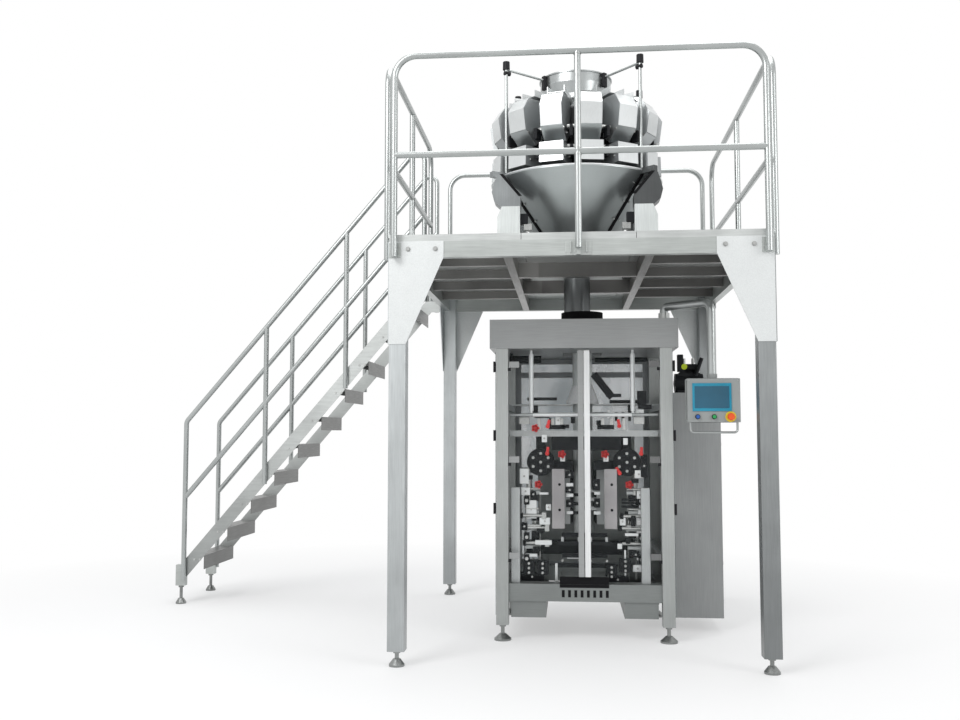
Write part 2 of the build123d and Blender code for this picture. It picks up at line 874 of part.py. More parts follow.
def make_chute():
    """The discharge cone in four sectors, and the outlet below it."""
    sheet = cone_sheet
    shell = [
        (cone_throat_radius, cone_throat), (cone_rim_radius, cone_rim - 3 * sheet),
        (cone_rim_radius, cone_rim), (cone_rim_radius - sheet, cone_rim),
        (cone_rim_radius - sheet, cone_rim - 2 * sheet), (cone_throat_radius - sheet, cone_throat),
    ]
    angles = gap_angles()
    sectors = []
    notch = block((0, spoke_reach), about(0, spoke_width + 2 * bolt_seat),
                  (arm_top - bolt_seat, arm_top + 2 * spoke_height))
    slit = block((0, spoke_reach), about(0, deck_joint), (cone_throat - deck_joint, cone_rim + deck_joint))
    for start, end in zip(angles, angles[1:] + [angles[0] + 360]):
        sector = turned(shell, end - start)
        sector = Rot(0, 0, start - 90) * sector
        for angle in (start, end):
            sector = sector - Rot(0, 0, angle - 90) * notch - Rot(0, 0, angle - 90) * slit
        sectors.append(Pos(0, weigher_y, 0) * sector)
    nodes["discharge_cone"] = sectors

    outlet = turned([
        (outlet_radius, outlet_bottom), (outlet_radius, outlet_cone_bottom),
        (cone_throat_radius, cone_throat - outlet_collar), (cone_throat_radius, cone_throat),
        (cone_throat_radius - sheet, cone_throat), (cone_throat_radius - sheet, cone_throat - outlet_collar),
        (outlet_radius - sheet, outlet_cone_bottom), (outlet_radius - sheet, outlet_bottom),
    ])
    nodes["chute_outlet"] = [Pos(0, weigher_y, 0) * outlet]


def make_bagger_frame():
    posts = []
    for x, y in post_places():
        post = block(x, y, (post_bottom, header_bottom))
        posts.append(fillet(post.edges().filter_by(Axis.Z), post_corner))
    nodes["bagger_posts"] = posts

    z = (header_bottom, header_top)
    x = about(bagger_x, header_width)
    y = (bagger_front - header_overhang, bagger_rear + header_overhang)
    shaft = about(weigher_y, header_shaft)
    gap = bolt_seat
    nodes["bagger_header"] = [
        block(x, (y[0], shaft[0]), z), block(x, (shaft[1], y[1]), z),
        block((x[0], bagger_x - header_shaft / 2), (shaft[0] + gap, shaft[1] - gap), z),
        block((bagger_x + header_shaft / 2, x[1]), (shaft[0] + gap, shaft[1] - gap), z),
    ]

    inner = (post_left + post_size, post_right - post_size)
    low = (cross_box_bottom, cross_box_bottom + cross_box_height)
    front = bagger_front + cross_box_set_back
    nodes["base_cross_boxes"] = [
        block(inner, (front, front + cross_box_depth), low),
        block(inner, (bagger_rear - post_size, bagger_rear - rear_box_set_back), low),
    ]
    along = (bagger_front + post_size, bagger_rear - post_size)
    beam_z = (cross_box_bottom, cross_box_bottom + base_beam_height)
    rails = [
        block((post_left, post_left + post_size), along, beam_z),
        block((post_right - post_size, post_right), along, beam_z),
    ]
    for level in side_rail_levels:
        rail_level = (level, level + side_rail_size)
        rails.append(block((inner[0] - side_rail_size, inner[0]), along, rail_level))
        rails.append(block((inner[1], inner[1] + side_rail_size), along, rail_level))
    nodes["bagger_side_rails"] = rails
    y = (bagger_front + base_box_inset, bagger_rear - base_box_inset)
    under = (cross_box_bottom - base_box_height, cross_box_bottom)
    nodes["base_boxes"] = [block(base_box_left, y, under), block(base_box_right, y, under)]


def make_covers():
    z = (cover_bottom, header_bottom - cover_margin)
    y = (bagger_front + cover_margin, bagger_rear - cover_margin)
    left = block((post_left - cover_sheet, post_left), y, z)
    front = (y[0], cabinet_front - cover_margin)
    right = block((post_right, post_right + cover_sheet), front, z)
    nodes["side_covers"] = [left, right]

    x = (post_right, post_right + cabinet_width)
    cabinet = block(x, (cabinet_front, cabinet_front + cabinet_depth), (cabinet_bottom, cabinet_top))
    nodes["electrical_cabinet"] = [cabinet]
    axis_z = cabinet_top + motor_radius
    start = (post_right + motor_radius, cabinet_front + motor_set_in, axis_z)
    motor = rod(start, (start[0] + motor_length, start[1], axis_z), motor_radius)
    foot_x = (start[0] + motor_foot_inset, start[0] + motor_length - motor_foot_inset)
    foot = block(foot_x, about(start[1], motor_radius), (cabinet_top, axis_z))
    nodes["film_motor"] = [motor + foot]


def make_former():
    """Inlet collar, forming tube with its funnel, the plates that clamp it and the forming shoulder."""
    middle = (bagger_x, weigher_y, 0)
    collar = turned([
        (collar_radius, header_top), (collar_radius, collar_top), (collar_radius - collar_sheet, collar_top),
        (collar_radius - collar_sheet, header_top),
    ])
    nodes["inlet_collar"] = [Pos(*middle) * collar]
    sheet = tube_sheet
    neck = funnel_top - (funnel_radius - tube_radius) * 2
    tube = turned([
        (tube_radius, tube_bottom), (tube_radius, neck), (funnel_radius, funnel_top),
        (funnel_radius - sheet, funnel_top), (tube_radius - sheet, neck), (tube_radius - sheet, tube_bottom),
    ])
    nodes["forming_tube"] = [Pos(*middle) * tube]
    plate_bottom = side_rail_levels[0] + side_rail_size
    plate_top = plate_bottom + former_plate
    y = about(weigher_y, former_plate_depth)
    hold = tube_radius + bolt_seat
    ends = (post_left + post_size - side_rail_size, post_right - post_size + side_rail_size)
    nodes["bracket_plates"] = [
        block((ends[0], bagger_x - hold), y, (plate_bottom, plate_top)),
        block((bagger_x + hold, ends[1]), y, (plate_bottom, plate_top)),
    ]
    top = plate_top + shoulder_height
    shoulder = turned([
        (hold, top), (hold + sheet, top), (shoulder_radius, plate_top + shoulder_edge),
        (shoulder_radius, plate_top), (shoulder_radius - sheet, plate_top),
        (shoulder_radius - sheet, plate_top + shoulder_edge - sheet), (hold, top - sheet),
    ])
    nodes["forming_shoulder"] = [Pos(*middle) * shoulder]


def make_cross_rails():
    """Rails from side to side inside the bag former, the rods that hang there and the back plate."""
    inner = (post_left + post_size, post_right - post_size)
    size = side_rail_size
    level = side_rail_levels[1]
    rails = [block(inner, (belt_rail_front, belt_rail_front + size), (level, level + size))]
    rear = (back_plate_y + back_plate, back_plate_y + back_plate + size)
    for level in side_rail_levels[1:]:
        rails.append(block(inner, rear, (level, level + size)))
    film_y = film_rail_front
    rails.append(rod((inner[0], film_y, film_rail_level), (inner[1], film_y, film_rail_level), film_rail_radius))
    nodes["cross_rails"] = rails
    nodes["back_plate"] = [
        block(back_plate_x, (back_plate_y, back_plate_y + back_plate), (back_plate_bottom, back_plate_top))
    ]
    foot = film_rail_level + film_rail_radius + bolt_seat
    nodes["inner_rods"] = [rod((x, film_y, foot), (x, film_y, header_bottom), hang_rod_radius) for x in hang_rod_x]


def make_belts():
    """Belt beam, round drives and the two film pulling belts between their face plates."""
    beam_top_z = side_rail_levels[1]
    beam_z = (beam_top_z - belt_beam_height, beam_top_z)
    beam_y = (belt_rail_front, belt_rail_front + belt_beam_depth)
    nodes["belt_beam"] = [block(belt_beam_x, beam_y, beam_z)]
    drives = []
    belts = []
    plates = []
    faces = about(weigher_y, belt_depth)
    for side in (1, -1):
        near = bagger_x + side * (tube_radius + belt_gap)
        centre = near + side * belt_drive_out
        end = beam_y[1] + belt_drive_length
        drive = rod((centre, beam_y[1], belt_drive_level), (centre, end, belt_drive_level), belt_drive_radius)
        hub_end = beam_y[1] - belt_hub_length
        drive += rod((centre, hub_end, belt_drive_level), (centre, end, belt_drive_level), belt_hub_radius)
        neck = sorted((near, centre))
        drive += block(neck, (beam_y[1], faces[0] - belt_plate), (belt_top, belt_top + belt_arm_height))
        hanger_y = (belt_rail_front + side_rail_size, end)
        hanger_z = (belt_drive_level, beam_top_z + side_rail_size)
        drive += block(about(centre, belt_drive_radius), hanger_y, hanger_z)
        drives.append(drive)
        belt = block(sorted((near, near + side * belt_width)), faces, (belt_bottom, belt_top + belt_arm_height))
        belts.append(fillet(belt.edges().filter_by(Axis.Y), belt_width / 2 - 1))
        plate_x = sorted((near + side * belt_plate_shift, near + side * (belt_plate_shift + belt_plate_width)))
        plate_z = (belt_bottom, belt_top + belt_arm_height)
        plates.append(block(plate_x, (faces[0] - belt_plate, faces[0]), plate_z))
        plates.append(block(plate_x, (faces[1], faces[1] + belt_plate), plate_z))
    nodes["belt_drives"] = drives
    nodes["film_belts"] = belts
    nodes["bracket_plates"] += plates


def make_jaws():
    """Upright profiles, the guide rods behind them, and the two sealing jaws with their carriers."""
    level = side_rail_levels[2] + side_rail_size / 2
    front = bagger_front + cross_box_set_back + cross_box_depth
    rear = back_plate_y + back_plate
    foot = cross_box_bottom + cross_box_height
    nodes["bracket_plates"] += [block(x, (front - profile_depth, front), (foot, profile_top)) for x in profile_x]
    guides = [sum(x) / 2 for x in profile_x]
    nodes["inner_rods"] += [rod((x, front, level), (x, rear, level), guide_radius) for x in guides]
    z = about(level, jaw_height)
    jaw_x = (guides[0] + carrier_width / 2, guides[1] - carrier_width / 2)
    jaws = []
    for side in (1, -1):
        face = weigher_y + side * jaw_gap / 2
        y = sorted((face, face + side * jaw_depth))
        jaws.append(block(jaw_x, y, z))
        for x in guides:
            carrier = block(about(x, carrier_width), y, about(level, carrier_height))
            bore = rod((x, front, level), (x, rear, level), guide_radius + bolt_seat)
            nodes["bracket_plates"].append(carrier - bore)
    nodes["seal_jaws"] = jaws

    tray_z = (foot, foot + tray_height)
    tray_y = (front - cross_box_depth + tray_sheet, front - cross_box_depth + tray_sheet + tray_depth)
    tray = block(tray_x, tray_y, tray_z)
    hollow = block((tray_x[0] + tray_sheet, tray_x[1] - tray_sheet),
                   (tray_y[0] + tray_sheet, tray_y[1] - tray_sheet),
                   (foot + tray_sheet, foot + tray_height))
    nodes["base_boxes"].append(tray - hollow)


def door_edges(side):
    """X of the post's edge, the hinge pin and the closing edge of the left (-1) or right (1) door."""
    post = bagger_x + side * (post_spread / 2 - post_size)
    pin = post - side * hinge_inset
    closing = bagger_x + side * door_gap / 2
    return post, pin, closing


def make_door(side, name):
    _, pin, closing = door_edges(side)
    face = bagger_front
    sheet_edge = pin - side * hinge_inset
    stile = sorted((closing, closing + side * stile_width))
    sheet = sorted((sheet_edge, closing + side * stile_width))
    z = (door_bottom, door_top)
    sheet_y = (face + door_set_back, face + door_set_back + door_sheet)
    nodes[name + "_sheet"] = [block(sheet, sheet_y, z)]
    frame = [block(stile, (face, face + stile_depth), z)]
    pin_y = face + hinge_leaf / 2
    for level in hinge_levels:
        leaf_z = (level, level + hinge_height)
        leaf = block(sorted((pin, pin - side * hinge_leaf_width)), (face, face + hinge_leaf), leaf_z)
        leaf += rod((pin, pin_y, level), (pin, pin_y, level + hinge_height), hinge_radius)
        leaf -= rod((pin, pin_y, level), (pin, pin_y, level + hinge_height), pin_radius + pin_clearance)
        frame.append(leaf)
    nodes[name + "_frame"] = frame


def fixed_hinges():
    knuckles = []
    for side in (-1, 1):
        post, pin, _ = door_edges(side)
        pin_y = bagger_front + hinge_leaf / 2
        for level in hinge_levels:
            bottom = level - hinge_height / 2 - 1
            knuckle = block(sorted((post, pin)), (bagger_front, bagger_front + hinge_leaf), (bottom, level - 1))
            knuckle += rod((pin, pin_y, bottom), (pin, pin_y, level - 1), hinge_radius)
            knuckle += rod((pin, pin_y, bottom), (pin, pin_y, level + hinge_height), pin_radius)
            knuckles.append(knuckle)
    nodes["door_hinges"] = knuckles


def make_panel():
    """Swinging arm on the header and the control panel that hangs from it."""
    pivot = (arm_pivot_x, arm_pivot_y)
    base = rod((*pivot, header_top), (*pivot, header_top + arm_base_height), arm_base_radius)
    nodes["panel_arm_base"] = [base]
    gap = arm_running_gap
    foot = Vector(*pivot, header_top + arm_base_height + gap)
    first_corner = Vector(*pivot, arm_level)
    last_corner = Vector(panel_x, panel_y, arm_level)
    across = (last_corner - first_corner).normalized()
    bend = arm_near_bend
    near, near_reach = elbow(first_corner, (0, 0, -1), across, bend, arm_radius)
    far, far_reach = elbow(last_corner, across * -1, (0, 0, -1), arm_bend, arm_radius)
    arm = near + far + rod(first_corner + across * near_reach, last_corner - across * far_reach, arm_radius)
    arm += rod(foot, first_corner - Vector(0, 0, near_reach), arm_radius)
    neck_top = panel_bottom + panel_height + panel_neck
    arm += rod((panel_x, panel_y, neck_top + gap), last_corner - Vector(0, 0, far_reach), arm_radius)
    nodes["panel_arm"] = [arm]

    x = about(panel_x, panel_width)
    y = about(panel_y, panel_depth)
    z = (panel_bottom, panel_bottom + panel_height)
    box = fillet(block(x, y, z).edges(), panel_corner)
    box += rod((panel_x, panel_y, z[1] - panel_corner), (panel_x, panel_y, neck_top),
               arm_radius + panel_neck_wall)
    nodes["control_panel"] = [box]
    face = y[0]
    screen_z = (z[1] - screen_margin - screen_height, z[1] - screen_margin)
    screen_x = about(panel_x - screen_shift, screen_width)
    nodes["panel_screen"] = [block(screen_x, (face - screen_proud, face), screen_z)]
    level = panel_bottom + button_rise
    nodes["panel_buttons"] = [
        rod((panel_x + offset, face, level), (panel_x + offset, face - button_proud, level), button_radius)
        for offset in (-button_spread, 0, button_spread)
    ]
    front = face + handle_radius + handle_inset
    low = panel_bottom - handle_drop
    left = Vector(panel_x - handle_span / 2, front, low)
    right = Vector(panel_x + handle_span / 2, front, low)
    near, reach = elbow(left, (0, 0, 1), (1, 0, 0), handle_bend, handle_radius)
    far, _ = elbow(right, (-1, 0, 0), (0, 0, 1), handle_bend, handle_radius)
    bar = near + far + rod(left + Vector(reach, 0, 0), right - Vector(reach, 0, 0), handle_radius)
    for corner in (left, right):
        bar += rod(corner + Vector(0, 0, reach), (corner.X, front, panel_bottom), handle_radius)
    nodes["panel_handle"] = [bar]


make_feet()
make_frame()
make_gussets()
make_deck()
make_stair()
make_rails()
make_weigher_stand()
make_drum()
make_hoppers()
make_feeders()
make_infeed()
make_chute()
make_bagger_frame()
make_covers()
make_former()
make_cross_rails()
make_belts()
make_jaws()
make_door(-1, "door_left")
make_door(1, "door_right")
fixed_hinges()
make_panel()

whole = Compound(solids_of([piece for pieces in nodes.values() for piece in pieces])).bounding_box()
centre_x = (whole.min.X + whole.max.X) / 2
centre_y = (whole.min.Y + whole.max.Y) / 2
print("whole", whole.size.X, whole.size.Y, whole.size.Z, "middle", centre_x, centre_y)

os.makedirs("parts", exist_ok=True)
for name, pieces in nodes.items():
    solids = [solid.moved(Pos(-centre_x, -centre_y, 0)) for solid in solids_of(pieces)]
    shape = solids[0] if len(solids) == 1 else Compound(solids)
    export_step(shape, "parts/" + name + ".step")
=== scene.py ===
"""Looks for the fourteen-head weigher, its work platform and the bag former below it.

Metres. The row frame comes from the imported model. Places are given from the platform: X from its
middle, Y from the front face of its front legs, Z from the floor.
"""
import math

import bmesh
import bpy
from mathutils import Matrix, Vector


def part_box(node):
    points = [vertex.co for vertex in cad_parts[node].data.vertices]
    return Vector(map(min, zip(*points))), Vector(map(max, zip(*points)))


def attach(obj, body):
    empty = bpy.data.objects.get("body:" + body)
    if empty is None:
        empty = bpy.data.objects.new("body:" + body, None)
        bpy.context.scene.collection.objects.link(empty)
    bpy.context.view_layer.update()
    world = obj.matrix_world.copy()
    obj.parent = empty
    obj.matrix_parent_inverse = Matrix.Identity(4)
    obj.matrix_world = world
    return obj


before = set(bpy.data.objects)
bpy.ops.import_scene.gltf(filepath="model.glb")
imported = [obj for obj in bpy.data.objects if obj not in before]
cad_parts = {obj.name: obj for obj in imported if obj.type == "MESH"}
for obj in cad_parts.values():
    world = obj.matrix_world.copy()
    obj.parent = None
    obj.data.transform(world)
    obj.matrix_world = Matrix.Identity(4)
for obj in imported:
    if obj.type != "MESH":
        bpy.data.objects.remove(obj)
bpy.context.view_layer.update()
scene = bpy.context.scene

legs_low, legs_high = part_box("platform_legs")
origin = Vector(((legs_low.x + legs_high.x) / 2, legs_low.y, 0))


def at(x, y, z):
    """A point given from the platform, in the row frame."""
    return origin + Vector((x, y, z))


# Directions
to_front = (0, -1, 0)
to_rear = (0, 1, 0)
to_right = (1, 0, 0)
upward = (0, 0, 1)

# Camera
eye = (-0.058, -5.707, 1.330)
yaw = math.radians(5.106)
pitch = math.radians(4.141)
camera_data = bpy.data.cameras.new("camera")
camera_data.sensor_width = 36
camera_data.lens = 37.5
camera = bpy.data.objects.new("camera", camera_data)
camera.location = at(*eye)
camera.rotation_euler = (math.pi / 2 + pitch, 0, yaw)
scene.collection.objects.link(camera)
scene.camera = camera
scene.view_settings.view_transform = "Standard"


# Node helpers
grain_depth = 0.0004


def material(name):
    """A material with its nodes and its shader."""
    made = bpy.data.materials.new(name)
    made.use_nodes = True
    return made, made.node_tree, made.node_tree.nodes["Principled BSDF"]


def node(tree, kind, **values):
    """A new node with its settings."""
    made = tree.nodes.new(kind)
    for key, value in values.items():
        setattr(made, key, value)
    return made


def noise(tree, scale, detail=3.0, stretch=(1, 1, 1)):
    """Noise over the object's own coordinates, stretched by scale factors along X, Y and Z."""
    place = node(tree, "ShaderNodeTexCoord")
    mapping = node(tree, "ShaderNodeMapping")
    mapping.inputs["Scale"].default_value = stretch
    tree.links.new(place.outputs["Object"], mapping.inputs["Vector"])
    made = node(tree, "ShaderNodeTexNoise")
    made.inputs["Scale"].default_value = scale
    made.inputs["Detail"].default_value = detail
    tree.links.new(mapping.outputs["Vector"], made.inputs["Vector"])
    return made.outputs["Fac"]


def ramp(tree, source, stops):
    """A colour ramp of (place, colour) stops fed by a value."""
    made = node(tree, "ShaderNodeValToRGB")
    elements = made.color_ramp.elements
    for index, (place, colour) in enumerate(stops):
        element = elements[index] if index < 2 else elements.new(place)
        element.position = place
        element.color = (*colour, 1)
    tree.links.new(source, made.inputs["Fac"])
    return made.outputs["Color"]


def spread(tree, source, low, high, start=0.3, end=0.7):
    """A value remapped from a band of the source."""
    made = node(tree, "ShaderNodeMapRange")
    made.inputs["From Min"].default_value = start
    made.inputs["From Max"].default_value = end
    made.inputs["To Min"].default_value = low
    made.inputs["To Max"].default_value = high
    tree.links.new(source, made.inputs["Value"])
    return made.outputs["Result"]


def mixed(tree, blend, factor, first, second):
    """Two colours mixed; the factor and the second may be plain values."""
    made = node(tree, "ShaderNodeMix", data_type="RGBA", blend_type=blend)
    for name, value in (("Factor", factor), ("A", first), ("B", second)):
        socket = made.inputs[name]
        if isinstance(value, bpy.types.NodeSocket):
            tree.links.new(value, socket)
        elif isinstance(value, (int, float)):
            socket.default_value = value
        else:
            socket.default_value = (*value, 1)
    return made.outputs["Result"]


def along(tree, axis, start, end):
    """0 at one place along an axis and 1 at another."""
    place = node(tree, "ShaderNodeTexCoord")
    split = node(tree, "ShaderNodeSeparateXYZ")
    tree.links.new(place.outputs["Object"], split.inputs["Vector"])
    return spread(tree, split.outputs[axis], 0, 1, start, end)


def bumped(tree, shader, source, strength):
    """A fine relief on a shader, from a value."""
    bump = node(tree, "ShaderNodeBump")
    bump.inputs["Strength"].default_value = strength
    bump.inputs["Distance"].default_value = grain_depth
    tree.links.new(source, bump.inputs["Height"])
    tree.links.new(bump.outputs["Normal"], shader.inputs["Normal"])


def tint(colour, factor):
    """A colour made darker or lighter by a factor."""
    return tuple(min(1, part * factor) for part in colour)


# Finishes
brushed = 0.03
grain_along = {"x": (brushed, 1, 1), "y": (1, brushed, 1), "z": (1, 1, brushed), "none": (1, 1, 1)}
steel_grain_scale = 260
steel_cloud_scale = 2.6
paint_grain_scale = 420
paint_cloud_scale = 6
smear_scale = 3.5
# Width of the blend into a painted side shade.
shade_edge = 0.01


def steel(name, colour, metallic=0.75, rough=0.34, grain="z", low_shade=None, span=(0, 2.4), contrast=0.16,
          depth=0.1, shaded_side=None):
    """Brushed stainless sheet: fine grain, soft clouding and, if asked, painted shade towards its foot and
    painted shade on its far side.

    The low shade argument darkens the lower end of a span of heights. The shaded side argument holds the X,
    in the row frame, beyond which the sheet is darkened, and the tint there.
    """
    made, tree, shader = material(name)
    fine = noise(tree, steel_grain_scale, 2, grain_along[grain])
    cloud = noise(tree, steel_cloud_scale, 4)
    base = ramp(tree, cloud, ((0.3, tint(colour, 1 - contrast)), (0.7, tint(colour, 1 + contrast / 2))))
    # Painted shade: the colour darkens towards the bottom of the span of heights.
    if low_shade:
        shade = ramp(tree, along(tree, "Z", *span), ((0, (low_shade,) * 3), (1, (1, 1, 1))))
        base = mixed(tree, "MULTIPLY", 1.0, base, shade)
    # Painted shade: the colour darkens past the given X.
    if shaded_side:
        shade_x, side_shade = shaded_side
        beyond = along(tree, "X", shade_x, shade_x + shade_edge)
        base = mixed(tree, "MULTIPLY", 1.0, base, ramp(tree, beyond, ((0, (1, 1, 1)), (1, (side_shade,) * 3))))
    lines = ramp(tree, fine, ((0.35, (1 - depth,) * 3), (0.65, (1, 1, 1))))
    tree.links.new(mixed(tree, "MULTIPLY", 1.0, base, lines), shader.inputs["Base Color"])
    shader.inputs["Metallic"].default_value = metallic
    tree.links.new(spread(tree, fine, rough - depth / 2, rough + depth), shader.inputs["Roughness"])
    bumped(tree, shader, fine, depth / 2)
    return made


def coated(name, colour, rough=0.45, variation=0.12, bump=0.15, gloss=0.5):
    """Paint, moulded plastic or rubber: a fine grain and a soft uneven colour."""
    made, tree, shader = material(name)
    fine = noise(tree, paint_grain_scale)
    cloud = noise(tree, paint_cloud_scale)
    base = ramp(tree, cloud, ((0.3, tint(colour, 1 - variation)), (0.7, tint(colour, 1 + variation))))
    tree.links.new(base, shader.inputs["Base Color"])
    tree.links.new(spread(tree, fine, rough - 0.08, rough + 0.1), shader.inputs["Roughness"])
    shader.inputs["Specular IOR Level"].default_value = gloss
    bumped(tree, shader, fine, bump)
    return made


def clear(name, colour, alpha):
    """Clear or tinted sheet with faint smears."""
    rough = 0.06
    made, tree, shader = material(name)
    smear = noise(tree, smear_scale, 5, (1, 1, 0.4))
    base = ramp(tree, smear, ((0.35, tint(colour, 0.94)), (0.7, colour)))
    tree.links.new(base, shader.inputs["Base Color"])
    tree.links.new(spread(tree, smear, rough, rough + 0.14), shader.inputs["Roughness"])
    tree.links.new(spread(tree, smear, alpha * 0.7, alpha * 1.35), shader.inputs["Alpha"])
    return made


# The legs are darkened towards the floor and on the right-hand legs: painted shade.
leg_steel = steel("leg_steel", (0.60, 0.63, 0.635), low_shade=0.66, span=(0.1, 1.9),
                  shaded_side=(legs_high.x - 0.2, 0.56))
tread_steel = steel("tread_steel", (0.15, 0.152, 0.147), metallic=0.55, grain="y", contrast=0.14)
# A lighter copy of the gusset steel for the front and rear gussets: painted light.
lit_gusset_sheet = steel("lit_gusset_sheet", (0.72, 0.74, 0.735), metallic=0.35, rough=0.4, grain="y", contrast=0.06)
beam_steel = steel("beam_steel", (0.49, 0.515, 0.50), grain="x")
# Darker towards the floor: painted shade.
stringer_steel = steel("stringer_steel", (0.54, 0.56, 0.55), grain="x", low_shade=0.55, span=(0.1, 1.6))
# Darker right of the infeed ring's left edge: painted shade.
under_steel = steel("under_steel", (0.25, 0.245, 0.235), metallic=0.5, grain="y", contrast=0.3,
                    shaded_side=(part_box("infeed_ring")[0].x, 0.72))
deck_steel = steel("deck_steel", (0.58, 0.60, 0.59), grain="x", contrast=0.2)
tube_steel = steel("tube_steel", (0.42, 0.44, 0.435), metallic=0.85, rough=0.3, grain="none", contrast=0.1,
                   depth=0.03)
hopper_steel = steel("hopper_steel", (0.70, 0.72, 0.72), metallic=0.7, rough=0.3, contrast=0.08, depth=0.05)
# Darker towards the cone's outlet: painted shade. The hopper gates take this darker steel too, as painted
# shade.
shaded_cone_steel = steel("shaded_cone_steel", (0.46, 0.485, 0.49), metallic=0.85, rough=0.3, low_shade=0.36,
                   span=(2.6, 2.96), contrast=0.12, depth=0.05)
ring_steel = steel("ring_steel", (0.42, 0.44, 0.44), metallic=0.85, rough=0.28, grain="none", contrast=0.12,
                   depth=0.05)
drive_grey = steel("drive_grey", (0.05, 0.052, 0.055), metallic=0.5, rough=0.4, contrast=0.3)
# Darker right of the infeed ring's right edge: painted shade.
ear_steel = steel("ear_steel", (0.28, 0.295, 0.30), metallic=0.6, rough=0.36, contrast=0.35,
                  shaded_side=(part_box("infeed_ring")[1].x, 0.32))
# A darker copy of the hopper steel for the hopper side plates: painted shade between the hoppers.
shaded_hopper_sides = steel("shaded_hopper_sides", (0.50, 0.52, 0.525), rough=0.3, contrast=0.12, depth=0.05)
rail_white = steel("rail_white", (0.78, 0.80, 0.80), metallic=0.4, rough=0.35, grain="none", contrast=0.06,
                   depth=0.03)
base_steel = steel("base_steel", (0.24, 0.255, 0.25), metallic=0.5, rough=0.42, grain="x", contrast=0.12)
# Darker towards the floor: painted shade.
post_steel = steel("post_steel", (0.47, 0.49, 0.48), metallic=0.6, rough=0.36, low_shade=0.8,
                   span=(0.2, 1.4), contrast=0.1)
stand_steel = steel("stand_steel", (0.70, 0.73, 0.72), metallic=0.5, rough=0.4, contrast=0.08)
cabinet_steel = steel("cabinet_steel", (0.33, 0.34, 0.34), metallic=0.55, rough=0.42, contrast=0.1)
header_steel = steel("header_steel", (0.36, 0.37, 0.37), metallic=0.6, rough=0.36, grain="x", contrast=0.08)
aluminium = steel("aluminium", (0.46, 0.48, 0.48), metallic=0.6, rough=0.38, contrast=0.08)
# Right door frame: pale steel as painted light, darkened right of its first 6 cm as painted shade.
lit_and_shaded_stile = steel("lit_and_shaded_stile", (0.85, 0.86, 0.86), metallic=0.3, rough=0.35, contrast=0.05,
                    shaded_side=(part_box("door_right_frame")[0].x + 0.06, 0.2))
foot_steel = steel("foot_steel", (0.28, 0.29, 0.285), metallic=0.85, rough=0.3, grain="none", contrast=0.3)
zinc = steel("zinc", (0.50, 0.51, 0.50), metallic=0.9, rough=0.3, grain="none", contrast=0.3)
dark_paint = coated("dark_paint", (0.012, 0.013, 0.015), rough=0.42, gloss=0.16)
black_plastic = coated("black_plastic", (0.012, 0.012, 0.014), rough=0.5, gloss=0.2)
black_rubber = coated("black_rubber", (0.009, 0.009, 0.01), rough=0.75, bump=0.3, gloss=0.12)
grey_belt = coated("grey_belt", (0.36, 0.345, 0.35), rough=0.5)
clear_sheet = clear("clear_sheet", (0.55, 0.63, 0.62), 0.01)
tinted_sheet = clear("tinted_sheet", (0.30, 0.36, 0.37), 0.42)
rear_tint = clear("rear_tint", (0.36, 0.47, 0.52), 0.55)
rear_bars = steel("rear_bars", (0.20, 0.21, 0.215), metallic=0.6, rough=0.36, contrast=0.1)
panel_paint = coated("panel_paint", (0.30, 0.315, 0.31), rough=0.4, variation=0.04)
red_knob = coated("red_knob", (0.72, 0.03, 0.03), rough=0.35)
stop_orange = coated("stop_orange", (0.80, 0.10, 0.02), rough=0.35)
display_dark = coated("display_dark", (0.015, 0.10, 0.165), rough=0.18, bump=0.02)
bezel_blue = coated("bezel_blue", (0.015, 0.25, 0.38), rough=0.22, bump=0.03)
cap_blue = coated("cap_blue", (0.02, 0.09, 0.35), rough=0.3)
cap_green = coated("cap_green", (0.02, 0.30, 0.08), rough=0.3)
yellow_ring = coated("yellow_ring", (0.75, 0.55, 0.03), rough=0.35)
# Near-white forming shoulder: painted highlight.
shoulder_highlight = coated("shoulder_highlight", (0.93, 0.94, 0.94), rough=0.25)
yellow_green = coated("yellow_green", (0.55, 0.68, 0.02), rough=0.4)

